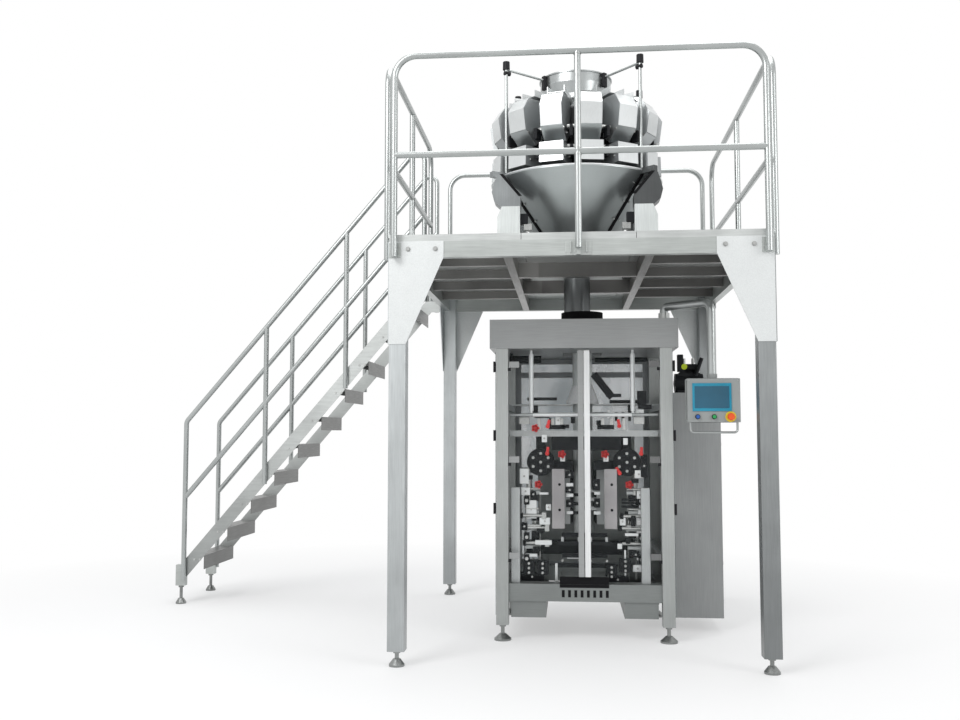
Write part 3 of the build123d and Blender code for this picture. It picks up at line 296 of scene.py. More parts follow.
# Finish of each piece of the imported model
node_materials = {
    # The front and rear gussets take a lighter steel than the side gussets: painted light.
    "platform_legs": leg_steel, "gussets_front_rear": lit_gusset_sheet, "gussets_sides": leg_steel,
    "platform_beams": beam_steel, "main_joists": under_steel, "deck_ribs": under_steel,
    "deck_panels": deck_steel, "rail_brackets": beam_steel, "rail_posts": tube_steel,
    "rail_bends": tube_steel, "top_and_mid_rails": tube_steel, "stair_stringers": stringer_steel,
    "stair_treads": tread_steel, "stair_shoes": beam_steel, "levelling_feet": foot_steel,
    "weigher_columns": stand_steel, "weigher_arms": ear_steel, "drum_spokes": ear_steel,
    # The hopper sides take a darker steel than the hopper walls: painted shade.
    "weigher_drum": drive_grey, "weigher_drives": drive_grey, "hopper_sides": shaded_hopper_sides,
    # The hopper gates take the cone's darker steel: painted shade.
    "hopper_walls": hopper_steel, "hopper_gates": shaded_cone_steel, "feeder_pans": hopper_steel,
    "feeder_pan_sides": hopper_steel, "spreading_cone": hopper_steel, "infeed_ring": ring_steel,
    "ring_stand": tube_steel, "discharge_cone": shaded_cone_steel, "chute_outlet": shaded_cone_steel,
    "bagger_posts": post_steel, "bagger_header": header_steel, "base_cross_boxes": base_steel,
    "bagger_side_rails": base_steel, "base_boxes": base_steel, "side_covers": tinted_sheet,
    "electrical_cabinet": cabinet_steel, "film_motor": dark_paint, "inlet_collar": black_rubber,
    # The forming shoulder is near white: painted highlight.
    "forming_tube": stand_steel, "forming_shoulder": shoulder_highlight, "back_plate": base_steel,
    "bracket_plates": aluminium, "belt_beam": dark_paint, "belt_drives": dark_paint,
    "film_belts": black_rubber, "seal_jaws": dark_paint, "inner_rods": rail_white,
    "cross_rails": aluminium,
    "door_left_sheet": clear_sheet, "door_right_sheet": clear_sheet,
    # The right door frame is pale with a dark far part: painted light and painted shade.
    "door_left_frame": header_steel, "door_right_frame": lit_and_shaded_stile, "door_hinges": black_plastic,
    "panel_arm_base": zinc, "panel_arm": tube_steel, "control_panel": panel_paint,
    "panel_screen": bezel_blue, "panel_buttons": dark_paint, "panel_handle": tube_steel,
}
for name, chosen in node_materials.items():
    cad_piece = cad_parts[name]
    for slot in cad_piece.material_slots:
        slot.material = chosen
    if not cad_piece.material_slots:
        cad_piece.data.materials.append(chosen)


# Piece helpers
def piece(name, mesh_data, finish, body="frame", smooth=False):
    """An object made from a bmesh, with a finish, that rides on a body."""
    mesh = bpy.data.meshes.new(name)
    mesh_data.to_mesh(mesh)
    mesh_data.free()
    if smooth:
        mesh.shade_smooth()
    mesh.materials.append(finish)
    made = bpy.data.objects.new(name, mesh)
    scene.collection.objects.link(made)
    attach(made, body)


def add_box(into, middle, size, turn=Matrix.Identity(3), bevel=0.0):
    """A box with softened edges, turned about its middle."""
    place = Matrix.Translation(middle) @ turn.to_4x4() @ Matrix.Diagonal((*size, 1))
    made = bmesh.ops.create_cube(into, size=1, matrix=place)
    if bevel:
        edges = {edge for vert in made["verts"] for edge in vert.link_edges}
        bmesh.ops.bevel(into, geom=list(edges), offset=bevel, segments=2, affect="EDGES", profile=0.7)


def toward(direction):
    """A turn that takes +Z to a direction."""
    return Vector(direction).normalized().to_track_quat("Z", "Y").to_matrix()


def add_disc(into, foot, direction, radius, length, sides=16, top_radius=None):
    """A round or many-sided bar that starts at a point."""
    direction = Vector(direction).normalized()
    middle = Vector(foot) + direction * length / 2
    place = Matrix.Translation(middle) @ toward(direction).to_4x4()
    top = radius if top_radius is None else top_radius
    bmesh.ops.create_cone(into, cap_ends=True, segments=sides, radius1=radius, radius2=top, depth=length,
                          matrix=place)


def bolts(name, places, size, finish, body="frame"):
    """Hexagon heads on washers at (point, outward direction) places, sized by the washer's radius."""
    washer = size * 0.18
    into = bmesh.new()
    for point, out in places:
        out = Vector(out).normalized()
        add_disc(into, point, out, size * 1.05, washer, 20)
        add_disc(into, Vector(point) + out * washer, out, size * 0.82, size * 0.62, 6, size * 0.76)
    piece(name, into, finish, body)


def add_bar(into, start, end, width_way, width, depth_way, depth):
    """A flat bar between two points, with its section given by two directions and narrower on top."""
    across = Vector(width_way).normalized() * width / 2
    up = Vector(depth_way).normalized() * depth
    ring = []
    for point in (Vector(start), Vector(end)):
        corners = (point - across, point + across, point + across * 0.8 + up, point - across * 0.8 + up)
        ring.append([into.verts.new(corner) for corner in corners])
    first, last = ring
    into.faces.new(first[::-1])
    into.faces.new(last)
    for index in range(4):
        after = (index + 1) % 4
        into.faces.new((first[index], first[after], last[after], last[index]))


# Weigher
ring_low, ring_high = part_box("infeed_ring")
weigher = Vector(((ring_low.x + ring_high.x) / 2, (ring_low.y + ring_high.y) / 2, 0))
heads = 14
first_head = math.radians(9.3)
head_pitch = math.tau / heads
spoke_gaps = (-2, 2, 5, 9)


def outward(angle):
    """Direction counted from the front towards +X."""
    return Vector((math.sin(angle), -math.cos(angle), 0))


def sideways(angle):
    """Direction along the ring at an angle."""
    return Vector((math.cos(angle), math.sin(angle), 0))


def around(angle, radius, z, side=0.0):
    """A point round the weigher's middle."""
    return weigher + outward(angle) * radius + sideways(angle) * side + Vector((0, 0, z))


def turned_out(angle):
    """A turn that takes +X outward at an angle."""
    return Matrix((outward(angle), sideways(angle), (0, 0, 1))).transposed()


head_angles = [first_head + head_pitch * index for index in range(heads)]
gap_angles = [first_head + head_pitch * (gap - 0.5) for gap in spoke_gaps]
cone_low, cone_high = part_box("discharge_cone")
cone_rim_radius = (cone_high.x - cone_low.x) / 2
cone_throat_radius = 0.106


def cone_seams():
    """Rubber strips down the cone, and a row of studs on both sides of each."""
    strip_width, strip_depth = 0.026, 0.007
    stud_side, stud_radius, stud_height = 0.03, 0.007, 0.006
    strips = bmesh.new()
    studs = bmesh.new()
    top = cone_high.z - 0.012
    rise = cone_high.z - cone_low.z
    run = cone_rim_radius - cone_throat_radius
    for angle in gap_angles:
        normal = outward(angle) * rise - Vector((0, 0, run))
        start = around(angle, cone_rim_radius, top)
        end = around(angle, cone_throat_radius, cone_low.z)
        add_bar(strips, start, end, sideways(angle), strip_width, normal, strip_depth)
        for side in (-1, 1):
            for share in (0.12, 0.3, 0.48):
                point = around(angle, cone_rim_radius - run * share, top - rise * share, side * stud_side)
                add_disc(studs, point, normal, stud_radius, stud_height, 10)
    piece("cone_seams", strips, black_rubber)
    piece("cone_studs", studs, zinc)


def hopper_fittings():
    """Gate pivots on the hoppers, with levers and links between neighbouring hoppers."""
    pivot_places = ((0.075, 0.485, 3.318), (0.075, 0.560, 3.335), (0.0825, 0.455, 3.160),
                    (0.0825, 0.545, 3.150))
    lever_places = ((0.455, 3.345), (0.44, 3.215))
    pivots = []
    arms = bmesh.new()
    links = bmesh.new()
    for angle in head_angles:
        for half, reach, z in pivot_places:
            for side in (-1, 1):
                pivots.append((around(angle, reach, z, side * half), sideways(angle) * side))
        gap = angle + head_pitch / 2
        turn = turned_out(gap)
        for reach, z in lever_places:
            add_box(arms, around(gap, reach, z), (0.11, 0.034, 0.05), turn, 0.004)
            add_box(arms, around(gap, reach + 0.075, z - 0.028), (0.06, 0.022, 0.075), turn, 0.004)
            add_disc(links, around(gap, reach + 0.055, z + 0.01, -0.03), sideways(gap), 0.013, 0.06, 14)
            add_disc(links, around(gap, reach + 0.03, z - 0.06), upward, 0.006, 0.075, 8)
    bolts("hopper_pivots", pivots, 0.009, zinc)
    piece("hopper_levers", arms, dark_paint)
    piece("hopper_links", links, zinc)


def ring_knobs():
    """Clamp knobs at the tops of the ring's rods and where its arms meet the ring."""
    rod_reach, ring_reach = 0.58, 0.268
    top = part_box("ring_stand")[1].z
    into = bmesh.new()
    for angle in gap_angles:
        add_disc(into, around(angle, rod_reach, top - 0.05), upward, 0.0245, 0.0545, 16, 0.0235)
        add_disc(into, around(angle, rod_reach - 0.03, top - 0.075), outward(angle), 0.015, 0.045, 12)
        clamp = around(angle, ring_reach, ring_high.z - 0.055)
        add_box(into, clamp, (0.024, 0.034, 0.10), turned_out(angle), 0.005)
    piece("ring_knobs", into, black_plastic)


def arm_edging():
    """Rubber along the sloped inner edges of the arms."""
    arms_low, arms_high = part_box("weigher_arms")
    inner, slope_run, slope_fall = 0.375, 0.125, 0.15
    into = bmesh.new()
    for y, out in ((arms_low.y, -1), (arms_high.y, 1)):
        for side in (-1, 1):
            start = Vector((weigher.x + side * (inner + slope_run), y, arms_high.z))
            end = Vector((weigher.x + side * inner, y, arms_high.z - slope_fall))
            add_bar(into, start, end, to_right, 0.024, (0, out, 0), 0.006)
    piece("arm_edging", into, black_rubber)


def column_links():
    """Brackets, valves and ties between the columns and the cone."""
    side_reach, row_reach = 0.35, 0.45
    dark = bmesh.new()
    bright = bmesh.new()
    for side in (-1, 1):
        for row in (-1, 1):
            x = weigher.x + side * side_reach
            y = weigher.y + row * row_reach
            for z, tall in ((2.60, 0.11), (2.745, 0.07)):
                add_box(dark, Vector((x, y, z)), (0.05, 0.06, tall), bevel=0.006)
            add_box(bright, Vector((x - side * 0.025, y, 2.69)), (0.055, 0.05, 0.045), bevel=0.005)
            upper_tie, lower_tie = (-side * 0.5, -row * 0.62, 0.25), (-side * 0.5, -row * 0.4, 0)
            add_disc(dark, Vector((x - side * 0.02, y, 2.62)), upper_tie, 0.012, 0.16, 12)
            add_disc(bright, Vector((x - side * 0.02, y, 2.56)), lower_tie, 0.008, 0.1, 12)
    piece("column_links", dark, dark_paint)
    piece("column_fittings", bright, zinc)


def cone_bead():
    """The rolled bead round the top of the cone."""
    steps, section = 96, 8
    half_width, half_height = 0.004, 0.005
    level = cone_high.z - 0.002
    into = bmesh.new()
    rings = []
    for step in range(steps):
        angle = math.tau * step / steps
        ring = []
        for index in range(section):
            turn = math.tau * index / section
            radius = cone_rim_radius + half_width * math.cos(turn)
            ring.append(into.verts.new(around(angle, radius, level + half_height * math.sin(turn))))
        rings.append(ring)
    for step in range(steps):
        first, last = rings[step], rings[(step + 1) % steps]
        for index in range(section):
            after = (index + 1) % section
            into.faces.new((first[index], last[index], last[after], first[after]))
    piece("cone_bead", into, rail_white, smooth=True)


arm_edging()
column_links()
cone_bead()
cone_seams()
hopper_fittings()
ring_knobs()


# Platform
deck_top = 2.48
plate = 0.006
mid_rail_z = 2.94
post_plate_z = 2.393


def corner_bolts():
    """Bolts through the corner plates, the rail brackets and the middle post's plate."""
    bolt_z = 2.394
    bracket_x = 1.065
    bracket_bolt_inset = 0.026
    places = []
    leg_x = (legs_high.x - legs_low.x) / 2
    rear = legs_high.y - origin.y
    for side in (-1, 1):
        for inset in (0.112, 0.272):
            places.append((at(side * (leg_x - inset), -plate, bolt_z), to_front))
            places.append((at(side * (leg_x - inset), rear + plate, bolt_z), to_rear))
            places.append((at(side * (leg_x + plate), inset, bolt_z), (side, 0, 0)))
            places.append((at(side * (leg_x + plate), rear - inset, bolt_z), (side, 0, 0)))
    bolts("corner_bolts", places, 0.014, zinc)
    clips = []
    for side in (-1, 1):
        for z in (2.372, 2.402):
            clips.append((at(side * (bracket_x - bracket_bolt_inset), -0.008, z), to_front))
    for x in (-0.05, 0.05):
        clips.append((at(x, -0.001, 2.388), to_front))
    bolts("clip_bolts", clips, 0.008, zinc)


def weld_beads():
    """Weld beads round the middle posts, at their joints with the rails."""
    rail_radius = 0.019
    bead_shift = 0.02
    bead_height = 0.004
    top_rail_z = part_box("top_and_mid_rails")[1].z - rail_radius
    into = bmesh.new()
    for y in (-0.05, 2.7):
        for z in (top_rail_z - bead_shift, mid_rail_z + bead_shift, mid_rail_z - bead_shift):
            add_disc(into, at(0, y, z - bead_height / 2), upward, 0.0225, bead_height, 20)
    piece("rail_welds", into, zinc)


def post_plates():
    """Clip plates at the feet of the middle posts, front and rear."""
    tall = 0.068
    sheet = 0.007
    into = bmesh.new()
    for y, out in ((legs_low.y, -1), (legs_high.y, 1)):
        add_box(into, Vector((origin.x, y + out * 0.004, post_plate_z)), (0.15, sheet, tall), bevel=0.002)
        for x in (-0.045, 0.045):
            fin = Vector((origin.x + x, y + out * 0.016, post_plate_z))
            add_box(into, fin, (sheet, 0.024, tall), bevel=0.002)
    piece("post_plates", into, beam_steel)


corner_bolts()
weld_beads()
post_plates()


# Stair
def stair_bolts():
    """Two bolts at each tread end, on the outside of both stringers."""
    low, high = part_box("stair_stringers")
    treads = 10
    going, rise, last_rise = 0.1843, 0.216, 0.164
    platform_half = 1.1
    stringer_head = 0.128
    bolt_drop, bolt_inset, bolt_pitch = 0.03, 0.05, 0.045
    places = []
    for step in range(treads):
        z = deck_top - last_rise - step * rise - bolt_drop
        x = -(platform_half + stringer_head + (deck_top - z - bolt_drop) * going / rise) + bolt_inset
        for shift in (0.0, bolt_pitch):
            places.append((Vector((at(x + shift, 0, 0).x, low.y, z)), to_front))
            places.append((Vector((at(x + shift, 0, 0).x, high.y, z)), to_rear))
    bolts("tread_bolts", places, 0.009, zinc)


stair_bolts()


# Control panel
screen_low, screen_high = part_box("panel_screen")
buttons_low, buttons_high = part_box("panel_buttons")
panel_low, panel_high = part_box("control_panel")


def panel_face():
    """The display, the button caps, the stop button's ring, the seam and the screws.

    The display is a share of the screen's width and height.
    """
    button_spread = 0.1
    neck = 0.03
    corner_inset = 0.012
    lit_width, lit_height = 0.88, 0.78
    middle = (screen_low + screen_high) / 2
    width = screen_high.x - screen_low.x
    tall = screen_high.z - screen_low.z
    into = bmesh.new()
    place = Vector((middle.x, screen_low.y - 0.001, middle.z))
    add_box(into, place, (width * lit_width, 0.004, tall * lit_height), bevel=0.001)
    piece("panel_display", into, display_dark, "control_panel")
    caps = ((-button_spread, cap_blue, 0.012), (0.0, cap_green, 0.012), (button_spread, stop_orange, 0.021))
    centre = (buttons_low + buttons_high) / 2
    for index, (shift, finish, radius) in enumerate(caps):
        into = bmesh.new()
        foot = Vector((centre.x + shift, buttons_low.y, centre.z))
        add_disc(into, foot, to_front, radius, 0.006, 24, radius * 0.9)
        if finish is stop_orange:
            add_disc(into, foot + Vector((0, -0.006, 0)), to_front, radius * 1.1, 0.009, 24, radius * 0.85)
        piece(f"button_cap_{index}", into, finish, "control_panel")
    into = bmesh.new()
    ring = Vector((centre.x + button_spread, panel_low.y - 0.0005, centre.z))
    add_disc(into, ring, to_front, 0.033, 0.003, 32)
    piece("stop_ring", into, yellow_ring, "control_panel")
    seam = bmesh.new()
    y = panel_low.y + 0.018
    for z in (panel_low.z - 0.0008, panel_high.z - neck + 0.0008):
        add_box(seam, Vector(((panel_low.x + panel_high.x) / 2, y, z)), (0.30, 0.003, 0.0016))
    for x in (panel_low.x - 0.0006, panel_high.x + 0.0006):
        add_box(seam, Vector((x, y, (panel_low.z + panel_high.z - neck) / 2)), (0.0014, 0.003, 0.24))
    piece("panel_seam", seam, black_rubber, "control_panel")
    screws = []
    for x in (panel_low.x + corner_inset, panel_high.x - corner_inset):
        for z in (panel_low.z + corner_inset, panel_high.z - neck - corner_inset):
            screws.append((Vector((x, panel_low.y, z)), to_front))
    bolts("panel_screws", screws, 0.0045, zinc, "control_panel")


panel_face()


# Bag former
posts_low, posts_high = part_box("bagger_posts")
header_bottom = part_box("bagger_header")[0].z
cabinet_low, cabinet_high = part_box("electrical_cabinet")


def knobs(name, places, finish):
    """Five-lobed hand knobs that face the front, on short shafts."""
    lobes = 5
    lobe_reach = 0.0175
    shaft = 0.03
    thickness = 0.018
    into = bmesh.new()
    for place in places:
        foot = at(*place)
        add_disc(into, foot, to_front, 0.007, shaft, 10)
        hub = foot + Vector((0, -shaft, 0))
        add_disc(into, hub, to_front, 0.0225, thickness, 20, 0.018)
        for lobe in range(lobes):
            turn = math.tau * lobe / lobes
            lug = Vector((math.cos(turn), 0, math.sin(turn))) * lobe_reach
            add_disc(into, hub + lug, to_front, 0.011, thickness, 12, 0.009)
    piece(name, into, finish)


def levers(name, places, finish):
    """Clamping levers that face the front, each turned by its own angle from upright."""
    into = bmesh.new()
    for x, y, z, lean in places:
        foot = at(x, y, z)
        turn = Matrix.Rotation(math.radians(lean), 3, "Y")
        add_disc(into, foot, to_front, 0.008, 0.03, 12)
        add_disc(into, foot + Vector((0, -0.028, 0)), to_front, 0.015, 0.018, 16, 0.012)
        grip = foot + Vector((0, -0.037, 0)) + turn @ Vector((0, 0, 0.022))
        add_box(into, grip, (0.02, 0.014, 0.045), turn, 0.005)
    piece(name, into, finish)


def small_fittings():
    """Clamps, blocks and lugs of the mechanism, each on a stud that runs back to what holds it.

    Each row gives X, Z, width and height.
    """
    front_row, row_step, rows_deep = 0.985, 0.012, 3
    half_thickness = 0.014
    white = ((-0.36, 1.04, 0.06, 0.10), (-0.352, 0.94, 0.06, 0.05), (-0.315, 0.82, 0.07, 0.12),
             (-0.225, 0.745, 0.07, 0.045), (-0.20, 0.835, 0.035, 0.04), (-0.23, 0.925, 0.06, 0.015),
             (-0.235, 0.605, 0.11, 0.03), (-0.315, 0.52, 0.08, 0.02), (-0.37, 0.61, 0.015, 0.17),
             (-0.15, 0.395, 0.018, 0.15), (-0.15, 0.335, 0.036, 0.03), (-0.27, 0.335, 0.19, 0.012),
             (-0.225, 1.29, 0.035, 0.05), (0.31, 1.27, 0.03, 0.045), (-0.105, 1.155, 0.034, 0.035),
             (0.18, 1.155, 0.034, 0.035), (-0.134, 1.41, 0.035, 0.08), (-0.36, 1.435, 0.055, 0.03),
             (0.20, 1.45, 0.015, 0.05), (0.405, 1.455, 0.055, 0.05), (0.185, 1.362, 0.08, 0.012),
             (-0.06, 0.985, 0.05, 0.022), (-0.06, 0.915, 0.05, 0.022), (-0.06, 0.80, 0.045, 0.02),
             (0.12, 0.93, 0.04, 0.02), (0.12, 0.80, 0.045, 0.022), (0.395, 1.055, 0.05, 0.05),
             (0.40, 0.92, 0.04, 0.05), (0.285, 0.745, 0.04, 0.05), (0.41, 0.79, 0.04, 0.06),
             (0.425, 0.565, 0.025, 0.18), (0.30, 0.47, 0.012, 0.18), (0.38, 0.44, 0.06, 0.045),
             (0.265, 0.585, 0.03, 0.035), (0.345, 0.66, 0.09, 0.018), (-0.04, 0.51, 0.08, 0.024))
    dark = ((-0.06, 1.05, 0.06, 0.045), (-0.06, 0.95, 0.055, 0.035), (-0.06, 0.86, 0.05, 0.05),
            (0.115, 0.985, 0.05, 0.075), (0.12, 0.865, 0.04, 0.06), (-0.30, 0.92, 0.035, 0.04),
            (-0.36, 0.71, 0.04, 0.05), (-0.255, 0.68, 0.05, 0.03), (-0.28, 0.56, 0.05, 0.03),
            (0.33, 0.89, 0.10, 0.012), (0.33, 0.865, 0.10, 0.012), (0.33, 0.84, 0.10, 0.012),
            (0.355, 0.75, 0.03, 0.07), (0.32, 0.62, 0.03, 0.04), (0.37, 0.53, 0.05, 0.04),
            (0.25, 0.37, 0.14, 0.05), (-0.31, 0.38, 0.16, 0.06), (-0.24, 1.44, 0.10, 0.028),
            (-0.035, 1.42, 0.03, 0.06), (0.14, 1.455, 0.09, 0.018), (0.145, 1.395, 0.05, 0.03),
            (0.25, 1.435, 0.018, 0.06), (0.295, 1.435, 0.018, 0.06), (0.34, 1.435, 0.018, 0.06),
            (-0.09, 1.37, 0.06, 0.025), (0.43, 1.11, 0.045, 0.15), (-0.185, 1.40, 0.02, 0.05))
    studs = bmesh.new()
    for name, rows, finish in (("light_fittings", white, rail_white), ("dark_fittings", dark, dark_paint)):
        into = bmesh.new()
        for index, (x, z, wide, tall) in enumerate(rows):
            middle = at(x, front_row + row_step * (index % rows_deep), z)
            add_box(into, middle, (wide, 0.03, tall), bevel=0.004)
            add_disc(studs, middle + Vector((0, half_thickness, 0)), to_rear, 0.006, 0.12, 10)
            if min(wide, tall) > 0.03:
                add_disc(studs, middle + Vector((0, -half_thickness, 0)), to_front, 0.007, 0.006, 10)
        piece(name, into, finish)
    piece("fitting_studs", studs, zinc)


def air_cylinders():
    """Small air cylinders, valves and blocks on the mechanism inside."""
    upright = ((-0.33, 1.03, 0.86), (-0.29, 1.06, 0.62), (0.37, 1.03, 0.84), (0.33, 1.06, 0.62))
    flat = ((-0.36, 1.0, 0.70), (-0.36, 1.0, 0.60), (0.27, 1.0, 0.70), (0.27, 1.0, 0.60), (-0.38, 0.99, 0.78),
            (0.28, 0.99, 0.78))
    valves = ((-0.33, 1.0, 0.44), (-0.24, 1.0, 0.44), (0.30, 1.0, 0.46), (0.21, 1.0, 0.42))
    barrel, flat_barrel = 0.17, 0.15
    rod, rod_drop = 0.32, 0.08
    end_cap = (0.05, 0.05, 0.028)
    valve_width, valve_depth, valve_height = 0.075, 0.07, 0.09
    port_pitch = 0.03
    bright = bmesh.new()
    dark = bmesh.new()
    for x, y, z in upright:
        add_disc(bright, at(x, y, z), upward, 0.019, barrel, 20)
        add_disc(bright, at(x, y, z - rod_drop), upward, 0.007, rod, 12)
        for end in (0, barrel):
            add_box(dark, at(x, y, z + end), end_cap, bevel=0.003)
    for x, y, z in flat:
        add_disc(bright, at(x, y, z), to_right, 0.012, flat_barrel, 16)
        add_box(dark, at(x, y, z), (0.022, 0.036, 0.036), bevel=0.003)
        add_box(bright, at(x + flat_barrel, y, z), (0.03, 0.05, 0.045), bevel=0.004)
    for x, y, z in valves:
        add_box(dark, at(x, y, z), (valve_width, valve_depth, valve_height), bevel=0.005)
        for level in (-port_pitch, 0, port_pitch):
            add_disc(bright, at(x, y - valve_depth / 2, z + level), to_front, 0.008, 0.014, 12)
    piece("air_cylinders", bright, zinc)
    piece("air_valves", dark, dark_paint)


knobs("red_knobs", ((-0.285, 1.0, 1.358), (-0.11, 1.0, 1.186), (0.173, 1.0, 1.187), (-0.267, 1.03, 0.985),
                    (0.332, 1.03, 0.985)), red_knob)
levers("red_levers", ((-0.202, 0.975, 1.37, 14), (0.268, 0.975, 1.372, -10), (-0.207, 1.0, 1.19, 8),
                      (0.268, 1.0, 1.062, -30), (0.41, 1.0, 1.19, 5)), red_knob)
air_cylinders()
small_fittings()


def drive_faces():
    """Toothed pulleys with hubs and bolt circles on the two round belt drives."""
    low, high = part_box("belt_drives")
    teeth, radius, thickness = 28, 0.088, 0.03
    circle_bolts, circle_radius = 6, 0.058
    inset, level = 0.062, 1.132
    front = at(0, 1.02, 0).y
    hub_front = Vector((0, -0.006, 0))
    dark = bmesh.new()
    places = []
    for x in (low.x + inset, high.x - inset):
        middle = Vector((x, front, level))
        add_disc(dark, middle, to_rear, radius, thickness, 40)
        add_disc(dark, middle + hub_front, to_rear, 0.03, 0.02, 24)
        for tooth in range(teeth):
            turn = math.tau * tooth / teeth
            out = Vector((math.cos(turn), 0, math.sin(turn)))
            place = middle + out * radius + Vector((0, thickness / 2, 0))
            add_box(dark, place, (0.008, 0.028, 0.008), toward(out), 0.001)
        for step in range(circle_bolts):
            turn = math.tau * (step + 0.5) / circle_bolts
            out = Vector((math.cos(turn), 0, math.sin(turn)))
            places.append((middle + out * circle_radius, to_front))
        places.append((middle + hub_front, to_front))
    piece("drive_pulleys", dark, dark_paint)
    bolts("drive_bolts", places, 0.009, zinc)


def belt_faces():
    """Pale cover plates in front of the belts, on stand-offs, with two dark holes each."""
    width, sheet, tall = 0.083, 0.008, 0.39
    middle_z = 0.895
    hole_levels, stud_levels = (0.988, 0.822), (0.74, 1.05)
    plates = bmesh.new()
    studs = bmesh.new()
    holes = bmesh.new()
    front = at(0, 0.945, 0).y
    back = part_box("film_belts")[0].y
    for place in (at(-0.1345, 0, 0), at(0.207, 0, 0)):
        add_box(plates, Vector((place.x, front, middle_z)), (width, sheet, tall), bevel=0.003)
        for z in hole_levels:
            add_disc(holes, Vector((place.x + 0.008, front - 0.0045, z)), to_front, 0.009, 0.002, 20)
        for z in stud_levels:
            stud = Vector((place.x, front + sheet / 2, z))
            add_disc(studs, stud, to_rear, 0.008, back - front - sheet / 2, 12)
    piece("belt_faces", plates, grey_belt)
    piece("belt_face_studs", studs, zinc)
    piece("belt_face_holes", holes, black_rubber)


def jaw_gear():
    """Links, blocks and guides round the sealing jaws.

    The links and the bars between the sides give their height and width.
    """
    sides = ((-1, -0.31), (1, 0.37))
    links = ((0.93, 0.11), (0.80, 0.09), (0.69, 0.12), (0.57, 0.10))
    bars = ((0.655, 0.30), (0.60, 0.36), (0.52, 0.30), (0.455, 0.40))
    block_levels, block_shift = (0.88, 0.64, 0.5), 0.035
    guide_shifts, guide_foot, guide_length = (-0.045, 0.005, 0.05), 0.36, 0.6
    lug_places, lug_z, screw_z = (-0.11, 0.0, 0.075, 0.18), 0.628, 0.49
    rear_levels, rear_y = (0.82, 0.88, 0.94), 1.12
    dark = bmesh.new()
    bright = bmesh.new()
    grey = bmesh.new()
    for side, x in sides:
        for z, wide in links:
            add_box(grey, at(x, 1.04, z), (wide, 0.05, 0.022), bevel=0.003)
            add_box(dark, at(x - side * 0.02, 1.02, z - 0.035), (0.05, 0.04, 0.04), bevel=0.004)
            add_disc(bright, at(x - wide / 2, 1.0, z + 0.025), to_right, 0.007, wide, 12)
        for z in block_levels:
            add_box(dark, at(x + side * block_shift, 1.0, z), (0.035, 0.05, 0.055), bevel=0.004)
            add_disc(bright, at(x + side * block_shift, 0.974, z), to_front, 0.011, 0.014, 16)
        for shift in guide_shifts:
            add_disc(bright, at(x + shift, 1.06, guide_foot), upward, 0.006, guide_length, 10)
    for z, wide in bars:
        add_box(dark, at(0.036, 1.0, z), (wide, 0.03, 0.026), bevel=0.003)
    for x in lug_places:
        add_box(grey, at(x, 0.98, lug_z), (0.018, 0.02, 0.03), bevel=0.002)
        add_disc(bright, at(x, 0.975, screw_z), to_front, 0.008, 0.012, 12)
    for z in rear_levels:
        add_box(grey, at(0.075, rear_y, z), (0.09, 0.03, 0.024), bevel=0.002)
        add_box(dark, at(-0.02, rear_y, z - 0.03), (0.08, 0.03, 0.02), bevel=0.002)
    piece("jaw_gear_dark", dark, dark_paint)
    piece("jaw_gear_bright", bright, zinc)
    piece("jaw_gear_grey", grey, aluminium)


def film_gear():
    """Film rollers, guide arm, sleeves on the hanging rods and the blocks under the header.

    Each block gives X, Y, Z, width and height.
    """
    roller_z = 1.835
    hanging_rods, sleeve_foot, sleeve_length = (-0.31, 0.358), 1.47, 0.38
    arm_turn = Matrix.Rotation(math.radians(52), 3, "Y")
    blocks = ((-0.24, 1.05, 1.555, 0.2, 0.02), (0.31, 1.05, 1.535, 0.2, 0.022), (0.42, 1.0, 1.56, 0.06, 0.09),
              (0.44, 1.0, 1.50, 0.09, 0.03), (-0.29, 1.0, 1.485, 0.045, 0.05), (0.35, 1.0, 1.49, 0.045, 0.05))
    clamps, clamp_z = (-0.26, -0.17, -0.11, 0.16, 0.22, 0.30), 1.385
    clamp_bars, clamp_bar_z = (-0.14, 0.18), 1.365
    end_blocks, end_block_z = (-0.36, 0.40), 1.41
    dark = bmesh.new()
    white = bmesh.new()
    bright = bmesh.new()
    add_disc(dark, at(-0.47, 1.22, roller_z), to_right, 0.026, 0.22, 24)
    add_disc(dark, at(0.12, 1.30, roller_z), to_right, 0.016, 0.36, 20)
    add_box(dark, at(-0.455, 1.22, 1.85), (0.02, 0.07, 0.09), bevel=0.004)
    for x in hanging_rods:
        add_disc(white, at(x, 0.95, sleeve_foot), upward, 0.0155, sleeve_length, 24)
    add_disc(white, at(-0.3, 0.94, 1.446), to_right, 0.0135, 0.65, 20)
    add_box(dark, at(0.165, 1.0, 1.64), (0.20, 0.02, 0.05), arm_turn, 0.006)
    add_box(dark, at(0.235, 1.0, 1.575), (0.10, 0.05, 0.022), bevel=0.004)
    for x, y, z, wide, tall in blocks:
        add_box(dark, at(x, y, z), (wide, 0.03, tall), bevel=0.004)
    for x in clamps:
        add_box(bright, at(x, 0.99, clamp_z), (0.022, 0.03, 0.075), bevel=0.003)
        add_disc(bright, at(x, 0.98, clamp_z + 0.03), to_front, 0.009, 0.02, 14)
    for x in clamp_bars:
        add_box(dark, at(x, 0.985, clamp_bar_z), (0.11, 0.03, 0.03), bevel=0.004)
    for x in end_blocks:
        add_box(bright, at(x, 1.0, end_block_z), (0.07, 0.04, 0.05), bevel=0.005)
    piece("film_gear_dark", dark, dark_paint)
    piece("film_gear_white", white, rail_white)
    piece("film_gear_bright", bright, zinc)


